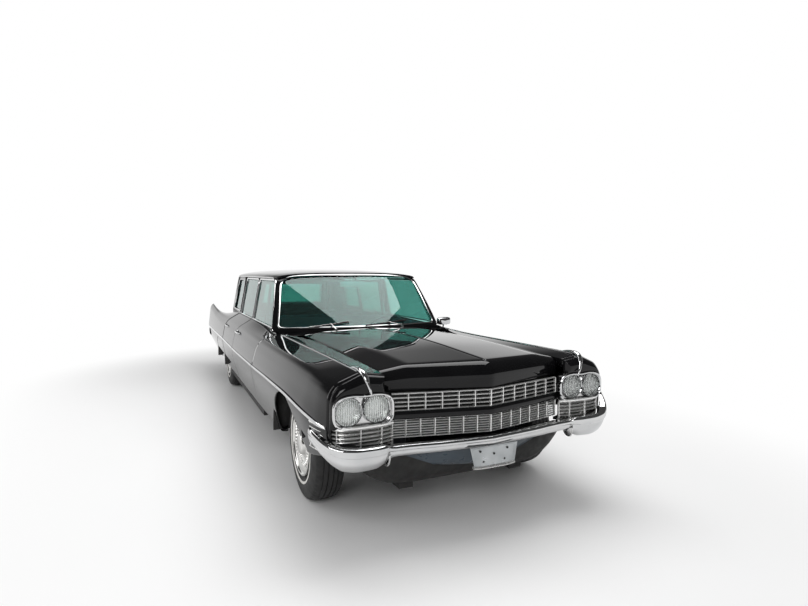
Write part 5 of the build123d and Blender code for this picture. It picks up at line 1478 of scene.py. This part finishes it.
for name, (body, along, up) in handleTable.items():
    addPair(name, handleMesh(name, along, up), chrome, bodies=(f"{body}_left", f"{body}_right"),
            slot="bright_chrome")


# Door mirror on the driver's side: a rounded oblong head with a flat glass, a stalk and a foot
mirrorValues = {"centre": (0.925, -0.858, 0.972), "half": (0.074, 0.038), "deep": 0.022}


def mirrorMeshes():
    v = mirrorValues
    cx, cy, cz = v["centre"]
    t = np.linspace(0, 2 * math.pi, 64, endpoint=False)[:, None]
    power = 2 / 4.0
    ringX = v["half"][0] * np.sign(np.cos(t)) * np.abs(np.cos(t)) ** power
    ringZ = v["half"][1] * np.sign(np.sin(t)) * np.abs(np.sin(t)) ** power
    share = np.array([0.0, 0.45, 0.75, 0.93, 1.0, 1.0, 0.965, 0.0])[None]
    depth = np.array([-1.0, -0.90, -0.66, -0.30, 0.10, 0.95, 1.0, 0.86])[None] * v["deep"]
    head = gridPoints(cx + ringX * share, cy + depth, cz + ringZ * share)
    glass = gridPoints(cx + ringX * np.array([[0.940, 0.5, 0.0]]), cy + v["deep"] * 1.02,
                       cz + ringZ * np.array([[0.940, 0.5, 0.0]]))
    stalk = roundedPath(np.array([(cx - 0.008, cy, cz - 0.030), (cx - 0.012, cy - 0.002, cz - 0.056),
                                  (cx - 0.016, cy, cz - 0.082)]), 0.02)
    foot = np.array([(cx - 0.016, cy - 0.040, cz - 0.083), (cx - 0.016, cy, cz - 0.081),
                     (cx - 0.016, cy + 0.040, cz - 0.083)])
    meshes = [cleanMesh(gridMesh("head", head, wrapRows=True)),
              sweepMesh("stalk", stalk, barProfile(0.014, 0.020, 12), lift=(0, 1, 0)),
              sweepMesh("foot", evenPath(foot, 16), barProfile(0.026, 0.012, 12, 0.8),
                        taper=0.4 + 0.6 * np.sin(np.linspace(0.1, math.pi - 0.1, 16)))]
    return joinMeshes("doorMirror", meshes), cleanMesh(gridMesh("mirrorGlass", glass, wrapRows=True))


mirrorBody, mirrorFace = mirrorMeshes()
mirrorSilver = finish("mirrorSilver", (0.82, 0.84, 0.85), (0.86, 0.87, 0.88), (0.01, 0.03), metallic=1.0)
addPiece("doorMirror", mirrorBody, chrome, "front_door_left", ("door_mirror",), slot="bright_chrome")
addPiece("mirrorGlass", mirrorFace, mirrorSilver, "front_door_left", slot="bright_chrome")


# Wipers: a blade laid on the glass and an arm from the cowl
wiperTable = {"wiperRight": ((-0.640, 0.045), (-0.190, 0.125), (-0.300, -1.148)),
              "wiperLeft": ((-0.010, 0.050), (0.540, 0.115), (0.330, -1.135))}


def wiperMesh(name, start, end, pivot):
    share = np.linspace(0, 1, 20)
    u, v = (start[k] + (end[k] - start[k]) * share for k in (0, 1))
    blade = screenPoint(u, v) + (0, -0.016, 0.012)
    rubber = screenPoint(u, v) + (0, -0.008, 0.004)
    base = np.array([pivot[0], pivot[1], 0.962])
    arm = evenPath(roundedPath(np.array([base, base + (0, 0.02, 0.018), blade[10] + (0, -0.006, 0.006)]),
                               0.02), 16)
    cap = np.array([base + (0, 0, -0.020), base, base + (0, 0, 0.014)])
    return (joinMeshes(name,
                       [sweepMesh("blade", blade, barProfile(0.007, 0.008, 8)),
                        sweepMesh("arm", arm, barProfile(0.010, 0.006, 8)),
                              sweepMesh("cap", cap, barProfile(0.026, 0.026, 14), lift=(0, 1, 0))]),
            sweepMesh(f"{name}Rubber", rubber, barProfile(0.005, 0.012, 6)))


for name, (start, end, pivot) in wiperTable.items():
    arm, rubber = wiperMesh(name, start, end, pivot)
    addPiece(name, arm, stainless, slot="bright_chrome")
    addPiece(f"{name}Rubber", rubber, blackRubber, slot="tyre_rubber")
print("stage: cowl, deck and trims made")


# Rear bumper: the front one's kind of section, turned to face the rear, with ends that sweep up under the
# lamps
rearTable = {
    "out": (0.0, 0.30, 0.60, 0.74, 0.83, 0.89, 0.94, 0.98, 1.004),
    "face": (-3.088, -3.082, -3.070, -3.064, -3.056, -3.042, -3.012, -2.965, -2.880),
    "high": (0.556, 0.556, 0.558, 0.566, 0.590, 0.612, 0.622, 0.626, 0.628),
    "low": (0.448, 0.448, 0.446, 0.442, 0.440, 0.446, 0.462, 0.492, 0.530),
    "deep": (0.070, 0.070, 0.070, 0.070, 0.072, 0.070, 0.056, 0.040, 0.022),
    "belly": (0.010, 0.010, 0.011, 0.014, 0.018, 0.018, 0.014, 0.010, 0.004),
    "step": (0.004, 0.004, 0.004, 0.004, 0.004, 0.004, 0.004, 0.003, 0.002),
}


def turnedAbout(mesh):
    points = np.empty(len(mesh.vertices) * 3)
    mesh.vertices.foreach_get("co", points)
    mesh.vertices.foreach_set("co", (points.reshape(-1, 3) * (1, -1, 1)).reshape(-1))
    mesh.update()
    return mesh


addPiece("rearBumper", faceToward(turnedAbout(bumperMesh("rearBumper", rearTable)), (0, 1, 0)), chrome,
         stands=("rear_bumper",), thick=0.004, slot="bright_chrome", sharp=60, even=False)


# Fin ends: a chrome housing from the quarter's section back to a leaning face, with a ribbed red lens set
# into it
tailValues = {"line": 2.984, "topLine": 3.034, "lowLine": 3.072, "top": 0.985, "low": 0.622,
              "middle": (0.925, 0.800)}
lampCorners = [(0.896, 0.690), (0.978, 0.690), (0.958, 0.920), (0.926, 0.936)]


def tailFace(height):
    v = tailValues
    share = np.clip((height - v["low"]) / (v["top"] - v["low"]), 0, 1)
    return v["lowLine"] + (v["topLine"] - v["lowLine"]) * share


def tailHousing():
    v = tailValues
    section = sidePaths(np.array([v["line"]]))[0]
    side = section[(section[:, 1] > v["low"]) & (section[:, 0] > 0.845)]
    outer = np.concatenate([side, [(0.850, 0.790), (0.856, v["low"])]])
    middle = np.array(v["middle"])
    turn = np.linspace(-math.pi, math.pi, 241)[:-1]
    outside = byAngle(evenPath(np.concatenate([outer, outer[:1]]), 900), middle, turn)
    inside = byAngle(denseLoop(lampCorners, 0.018), middle, turn)
    rings = [upright(outside, v["line"])]
    for share, back in ((0.0, 0.006), (0.06, 0.001), (0.5, -0.003), (0.94, 0.0), (1.0, 0.004), (1.0, 0.030)):
        plan = outside * (1 - share) + inside * share
        rings.append(upright(plan, tailFace(plan[:, 1]) - back))
    lens = []
    for share, back in ((1.0, 0.022), (0.97, 0.012), (0.9, 0.005), (0.6, 0.002), (0.3, 0.0), (0.0, 0.0)):
        plan = inside * share + middle * (1 - share)
        rib = 0.0012 * np.cos(plan[:, 1] * 2 * math.pi / 0.016)
        lens.append(upright(plan, tailFace(plan[:, 1]) - back + rib))
    return gridMesh("tailHousing", np.stack(rings),
                    wrapCols=True), cleanMesh(gridMesh("tailLens", np.stack(lens), wrapCols=True))


housing, tailLens = tailHousing()
addPair("tailHousing", faceToward(housing, (0, 1, 0)), chrome, slot="bright_chrome", thick=0.002, offset=-1,
        even=False)
addPair("tailLens", faceToward(tailLens, (0, 1, 0)), redLens, stands=(("tail_lamps",), ()), slot="red_lens",
        thick=0.003,
        even=False)


# Lid trim: a bright strip along its lower edge and a lock
lidStrip = np.stack([np.linspace(-0.600, 0.600, 40), np.full(40, 2.947), np.full(40, 0.640)], 1)
addPiece("lidStrip", sweepMesh("lidStrip", lidStrip, barProfile(0.010, 0.022, 10, 0.9)), chrome, "trunk_lid",
         slot="bright_chrome")
lockProfile = [(-0.004, 0.0), (-0.004, 0.017), (0.004, 0.017), (0.007, 0.014), (0.008, 0.004),
               (0.004, 0.003), (0.004, 0.0)]
addPiece("lidLock", frontTurned("lidLock", lockProfile, (0.0, 2.948, 0.700), 36), chrome, "trunk_lid",
         slot="bright_chrome")


# The pods' round inner ends, finely ringed, and a near-black pan under the nose that hides the rail ends:
# painted shade, a dark sheet standing in for the shadow under the nose
podValues = {"out": 0.612, "along": -2.990, "up": 0.492, "radius": 0.052, "rings": 7, "dome": 0.016,
             "ripple": 0.0022}


def podEnd():
    v = podValues
    r = np.linspace(0, v["radius"], 57)[None]
    t = np.linspace(0, 2 * math.pi, 48, endpoint=False)[:, None]
    dome = v["dome"] * (1 - (r / v["radius"]) ** 2)
    ripple = v["ripple"] * np.cos(r / v["radius"] * 2 * math.pi * v["rings"])
    x = v["out"] - dome + ripple
    grid = np.stack([x + 0 * t, v["along"] + 0.85 * r * np.sin(t), v["up"] + 1.05 * r * np.cos(t)], -1)
    return cleanMesh(gridMesh("podEnd", grid, wrapRows=True))


addPair("podEnd", faceToward(podEnd(), (-1, 0, 0)), stainless, thick=0.003, slot="bright_chrome")


# Painted shade: a near-black sheet put under the nose where there is only shadow; it also hides the rail
# ends.
def noseShadePan():
    path = roundedPath(np.array([(-2.900, 0.440), (-2.870, 0.330), (-2.800, 0.235), (-2.640, 0.200)]), 0.06,
                       steps=8, runSteps=5)
    x = np.linspace(-0.640, 0.640, 41)[:, None]
    lift = 0.11 * np.abs(x / 0.64) ** 7
    grid = gridPoints(x, path[None, :, 0], path[None, :, 1] + lift)
    return faceToward(gridMesh("noseShadePan", grid), (0, -1, -1))


addPiece("noseShadePan", noseShadePan(), underPaint, thick=0.003, slot="chassis_paint")
print("stage: tail and rear bumper made")


# Seats: cushions blown up by a short cloth simulation inside the CAD seats' space, then pleated
seatValues = {"voxel": 0.012, "pressure": 4.0, "frames": 20, "cap": 0.024, "pleat": 0.105, "pleatDeep": 0.007,
              "pleatWide": 0.008, "fill": 0.6}
seatTable = {  # outline as (along, up), half width, pleated face, node it stands for
    "frontCushion": ([(-0.520, 0.470), (-0.085, 0.455), (-0.085, 0.570), (-0.520, 0.596)], 0.660, 2,
                     "front_seat"),
    "frontBack": ([(-0.062, 0.560), (0.060, 0.560), (0.066, 0.905), (0.000, 0.905)], 0.660, 1, None),
    "rearCushion": ([(0.990, 0.470), (1.175, 0.475), (1.345, 0.616), (1.560, 0.616), (1.560, 0.640),
                     (0.990, 0.622)],
                    0.590, 2, "rear_seat"),
    "rearBack": ([(1.585, 0.650), (1.735, 0.650), (1.735, 0.900), (1.650, 0.900)], 0.590, 1, None),
}
plinthTable = {
    "frontPlinth": ([(-0.480, 0.313), (0.072, 0.313), (0.072, 0.560), (-0.060, 0.560), (-0.060, 0.462),
                     (-0.500, 0.462)], 0.650),
    "rearPlinth": ([(0.994, 0.313), (1.016, 0.313), (1.158, 0.455), (0.994, 0.455)], 0.580),
}


def padMesh(name, outline, half, reach, steps=61):
    path = roundedPath(np.array(outline), reach, steps=5, runSteps=6, closed=True)
    x = np.linspace(-half, half, steps)[:, None]
    grid = gridPoints(x, path[None, :, 0], path[None, :, 1])
    return cleanMesh(gridMesh(name, grid, wrapCols=True, capRows=True))


def readPoints(mesh, kind="co"):
    values = np.empty(len(mesh.vertices) * 3)
    mesh.vertices.foreach_get(kind, values)
    return values.reshape(-1, 3)


def bakedMesh(piece):
    return bpy.data.meshes.new_from_object(piece.evaluated_get(bpy.context.evaluated_depsgraph_get()))


# The pad is remeshed evenly, blown up by pressure with each point's travel capped, and subdivided once.
def blowUp(name, mesh):
    v = seatValues
    work = bpy.data.objects.new(f"{name}Work", mesh)
    bpy.context.scene.collection.objects.link(work)
    remesh = work.modifiers.new("remesh", "REMESH")
    remesh.mode, remesh.voxel_size = "VOXEL", v["voxel"]
    even = bakedMesh(work)
    work.modifiers.clear()
    work.data = even
    start = readPoints(even)
    cloth = work.modifiers.new("cloth", "CLOTH")
    cloth.settings.use_pressure = True
    cloth.settings.uniform_pressure_force = v["pressure"]
    cloth.settings.effector_weights.gravity = 0
    cloth.point_cache.frame_start, cloth.point_cache.frame_end = 1, v["frames"]
    for step in range(1, v["frames"] + 1):
        bpy.context.scene.frame_set(step)
    blown = bakedMesh(work)
    work.modifiers.clear()
    travel = readPoints(blown) - start
    far = np.linalg.norm(travel, axis=1, keepdims=True)
    even.vertices.foreach_set("co",
                              (start + travel
                               * np.minimum(1, v["cap"] / np.maximum(far, 1e-9))).reshape(-1))
    even.update()
    bpy.context.scene.frame_set(1)
    finer = work.modifiers.new("finer", "SUBSURF")
    finer.levels = finer.render_levels = 1
    done = bakedMesh(work)
    bpy.data.objects.remove(work)
    done.name = name
    return done


# Pleats: the pleated face sinks by a narrow bell curve at each seam, fading out at the pad's edges.
def pleat(mesh, half, axis):
    v = seatValues
    points, normals = readPoints(mesh), readPoints(mesh, "normal")
    face = np.clip((normals[:, 2] if axis == 2 else -normals[:, 1]) * 2 - 0.6, 0, 1)
    off = (points[:, 0] / v["pleat"] + 0.5) % 1 - 0.5
    edge = np.clip((half - 0.05 - np.abs(points[:, 0])) / 0.03, 0, 1)
    deep = v["pleatDeep"] * np.exp(-(off * v["pleat"] / v["pleatWide"]) ** 2) * face * edge
    points -= normals * deep[:, None]
    mesh.vertices.foreach_set("co", points.reshape(-1))
    mesh.polygons.foreach_set("use_smooth", np.ones(len(mesh.polygons), bool))
    mesh.update()
    return mesh


for name, (outline, half, axis, node) in seatTable.items():
    pad = addPiece(name, pleat(blowUp(name, padMesh(name, outline, half, 0.035)), half, axis), blueCloth,
                   stands=(node,) if node else (), slot="blue_cloth", sharp=0)
for name, (outline, half) in plinthTable.items():
    addPiece(name, padMesh(name, outline, half, 0.012, 5), blueLeather, slot="blue_cloth", bevel=0.004)
print("stage: seats made")


# Cabin floor: carpets with a slight wave and a hump along the middle, and a parcel shelf behind the rear seat
carpetTable = {
    "frontCarpet": ((-0.655, 0.655), (-0.895, -0.505), 0.312, blueCarpet),
    "rearCarpet": ((-0.655, 0.655), (0.122, 0.988), 0.312, blueCarpet),
    "parcelShelf": ((-0.640, 0.640), (1.745, 1.925), 0.915, darkCloth),
}
for name, ((left, right), (front, rear), up, material) in carpetTable.items():
    x, y = np.linspace(left, right, 60)[:, None], np.linspace(front, rear, 40)[None]
    wave = 0.0012 * np.sin(x * 31) * np.sin(y * 27)
    hump = 0.030 * np.exp(-(x / 0.11) ** 4) if up < 0.5 else 0
    grid = gridPoints(x, y, up + wave + hump + 0.001)
    addPiece(name, faceToward(gridMesh(name, grid), (0, 0, 1)), material, thick=0.005, offset=1,
             slot="blue_cloth")


# Door trims: a cloth panel that bellies inward, an armrest, a bright strip and a window crank
trimTable = {"frontTrim": ("front_door", -0.900, 0.150), "rearTrim": ("rear_door", 0.262, 1.030)}


def doorTrim(name, start, end):
    y, z = np.linspace(start, end, 60)[:, None], np.linspace(0.372, 0.950, 50)[None]
    share, high = (y - start) / (end - start), (z - 0.372) / 0.578
    belly = 0.010 * (np.sin(math.pi * share) * np.sin(math.pi * high)) ** 0.35
    seam = 0.003 * np.exp(-((z - 0.560) / 0.005) ** 2) + 0.003 * np.exp(-((z - 0.800) / 0.005) ** 2)
    panel = gridPoints(0.7505 - belly + seam, y, z)
    middle = (start + end) / 2
    rest = roundedPath(np.array([(0.744, middle - 0.17, 0.640), (0.716, middle - 0.15, 0.650),
                                 (0.712, middle + 0.16, 0.655),
                                 (0.744, middle + 0.19, 0.645)]), 0.04, steps=8, runSteps=10)
    strip = np.stack([np.full(40, 0.740), np.linspace(start + 0.03, end - 0.03, 40), np.full(40, 0.800)], 1)
    crank = roundedPath(np.array([(0.742, middle - 0.02, 0.720), (0.722, middle - 0.02, 0.720),
                                  (0.718, middle + 0.075, 0.728),
                                  (0.700, middle + 0.080, 0.729)]), 0.012, steps=6, runSteps=4)
    return (faceToward(gridMesh(name, panel), (-1, 0, 0)),
            sweepMesh("rest", rest, barProfile(0.036, 0.044, 14, 0.8)),
            joinMeshes("bright", [sweepMesh("strip", strip, barProfile(0.004, 0.014, 8)),
                                  sweepMesh("crank", crank, barProfile(0.011, 0.011, 10))]))


for name, (body, start, end) in trimTable.items():
    panel, rest, bright = doorTrim(name, start, end)
    bodies = (f"{body}_left", f"{body}_right")
    addPair(name, panel, blueCloth, bodies=bodies, slot="blue_cloth")
    addPair(f"{name}Rest", rest, blueLeather, bodies=bodies, slot="blue_cloth")
    addPair(f"{name}Bright", bright, stainless, bodies=bodies, slot="bright_chrome")
print("stage: door trims made")


# Dashboard: a bright strip, an instrument panel with two dials and a speaker grille
dashValues = {"face": -0.742, "driver": 0.380, "dials": ((0.300, 0.852), (0.460, 0.852)), "dial": 0.044,
              "strip": 0.792}


def dashMeshes():
    v = dashValues
    strip = np.stack([np.linspace(-0.690, 0.690, 60), np.full(60, v["face"] + 0.004),
                      np.full(60, v["strip"])], 1)
    box = denseLoop([(v["driver"] - 0.185, 0.806), (v["driver"] + 0.185, 0.806), (v["driver"] + 0.175, 0.900),
                     (v["driver"] - 0.175, 0.900)], 0.030, 200)
    bright = [sweepMesh("strip", strip, barProfile(0.007, 0.014, 10)),
              sweepMesh("surround", upright(box, v["face"] + 0.006), barProfile(0.010, 0.012, 10),
                        lift=(0, 1, 0), closed=True)]
    face = []
    for out, up in v["dials"]:
        t = np.linspace(0, 2 * math.pi, 60, endpoint=False)
        ring = np.stack([out + v["dial"] * np.cos(t), np.full(60, v["face"] + 0.008),
                         up + v["dial"] * np.sin(t)], 1)
        bright.append(sweepMesh("dialRing", ring, barProfile(0.005, 0.008, 8), lift=(0, 1, 0), closed=True))
        needle = np.array([(out, v["face"] + 0.009, up), (out - 0.012, v["face"] + 0.009, up + 0.016),
                           (out - 0.024, v["face"] + 0.009, up + 0.032)])
        bright.append(sweepMesh("needle", needle, barProfile(0.003, 0.002, 6), lift=(0, 1, 0)))
    for up in np.linspace(0.818, 0.888, 8):
        bar = np.stack([np.linspace(-0.16, 0.12, 20), np.full(20, v["face"] + 0.004), np.full(20, up)], 1)
        bright.append(sweepMesh("speaker", bar, barProfile(0.006, 0.004, 8)))
    middle = np.array([v["driver"], 0.853])
    turn = np.linspace(-math.pi, math.pi, 121)[:-1]
    outside = byAngle(box, middle, turn)
    rings = [upright(outside * s + middle * (1 - s), v["face"] + d)
             for s, d in ((1.0, 0.001), (0.96, 0.005), (0.0, 0.005))]
    face.append(cleanMesh(gridMesh("panel", np.stack(rings), wrapCols=True)))
    return joinMeshes("dashBright", bright), faceToward(joinMeshes("dashPanel", face), (0, 1, 0))


dashBright, dashFace = dashMeshes()
addPiece("dashBright", dashBright, chrome, slot="bright_chrome")
addPiece("dashPanel", dashFace, blackRubber, slot="dark_trim", thick=0.003)

# Rear-view mirror under the header, on a stalk
viewMirror = padMesh("cabinMirror", [(-0.705, 1.318), (-0.690, 1.318), (-0.690, 1.368), (-0.705, 1.368)],
                     0.115, 0.006, 5)
stalk = evenPath(np.array([(0, -0.702, 1.352), (0, -0.700, 1.385), (0, -0.690, 1.412)]), 8)
addPiece("cabinMirror",
         joinMeshes("cabinMirror",
                    [viewMirror, sweepMesh("stalk", stalk, barProfile(0.012, 0.010, 10), lift=(0, 1, 0))]),
         chrome, slot="bright_chrome", bevel=0.003)
print("stage: dashboard and mirror made")


# Engine bay: an air cleaner, a radiator with fins and a battery
def bayMeshes():
    lid = [(0.800, 0.0), (0.800, 0.100), (0.812, 0.168), (0.822, 0.176), (0.858, 0.176), (0.868, 0.168),
           (0.872, 0.060),
           (0.878, 0.050), (0.880, 0.012), (0.892, 0.010), (0.892, 0.0)]
    t = np.linspace(0, 2 * math.pi, 72, endpoint=False)[:, None]
    up, r = np.array(lid)[None, :, 0], np.array(lid)[None, :, 1]
    cleaner = cleanMesh(gridMesh("airCleaner",
                                 np.stack([r * np.cos(t), -1.72 + r * np.sin(t), up + 0 * t], -1),
                                 wrapRows=True))
    x = np.linspace(-0.34, 0.34, 401)[:, None]
    z = np.linspace(0.40, 0.80, 9)[None]
    core = gridPoints(x, -2.700 - 0.006 * np.sign(np.sin(x * 900)), z)
    tanks = [sweepMesh("tank",
                       np.stack([np.linspace(-0.36, 0.36, 20), np.full(20, -2.700), np.full(20, at)], 1),
                       barProfile(0.060, 0.050, 16, 0.6)) for at in (0.395, 0.805)]
    return cleaner, joinMeshes("radiator", [faceToward(gridMesh("core", core), (0, -1, 0)), *tanks])


airCleaner, radiator = bayMeshes()
addPiece("airCleaner", airCleaner, underPaint, slot="chassis_paint")
addPiece("radiator", radiator, underPaint, slot="chassis_paint", thick=0.002, even=False)
battery = padMesh("battery", [(-2.520, 0.660), (-2.300, 0.660), (-2.300, 0.840), (-2.520, 0.840)], 0.085,
                  0.008, 5)
addPiece("battery", shifted(battery, "battery", (0.355, 0, 0)), blackRubber, slot="dark_trim", bevel=0.003)
print("stage: engine bay made")
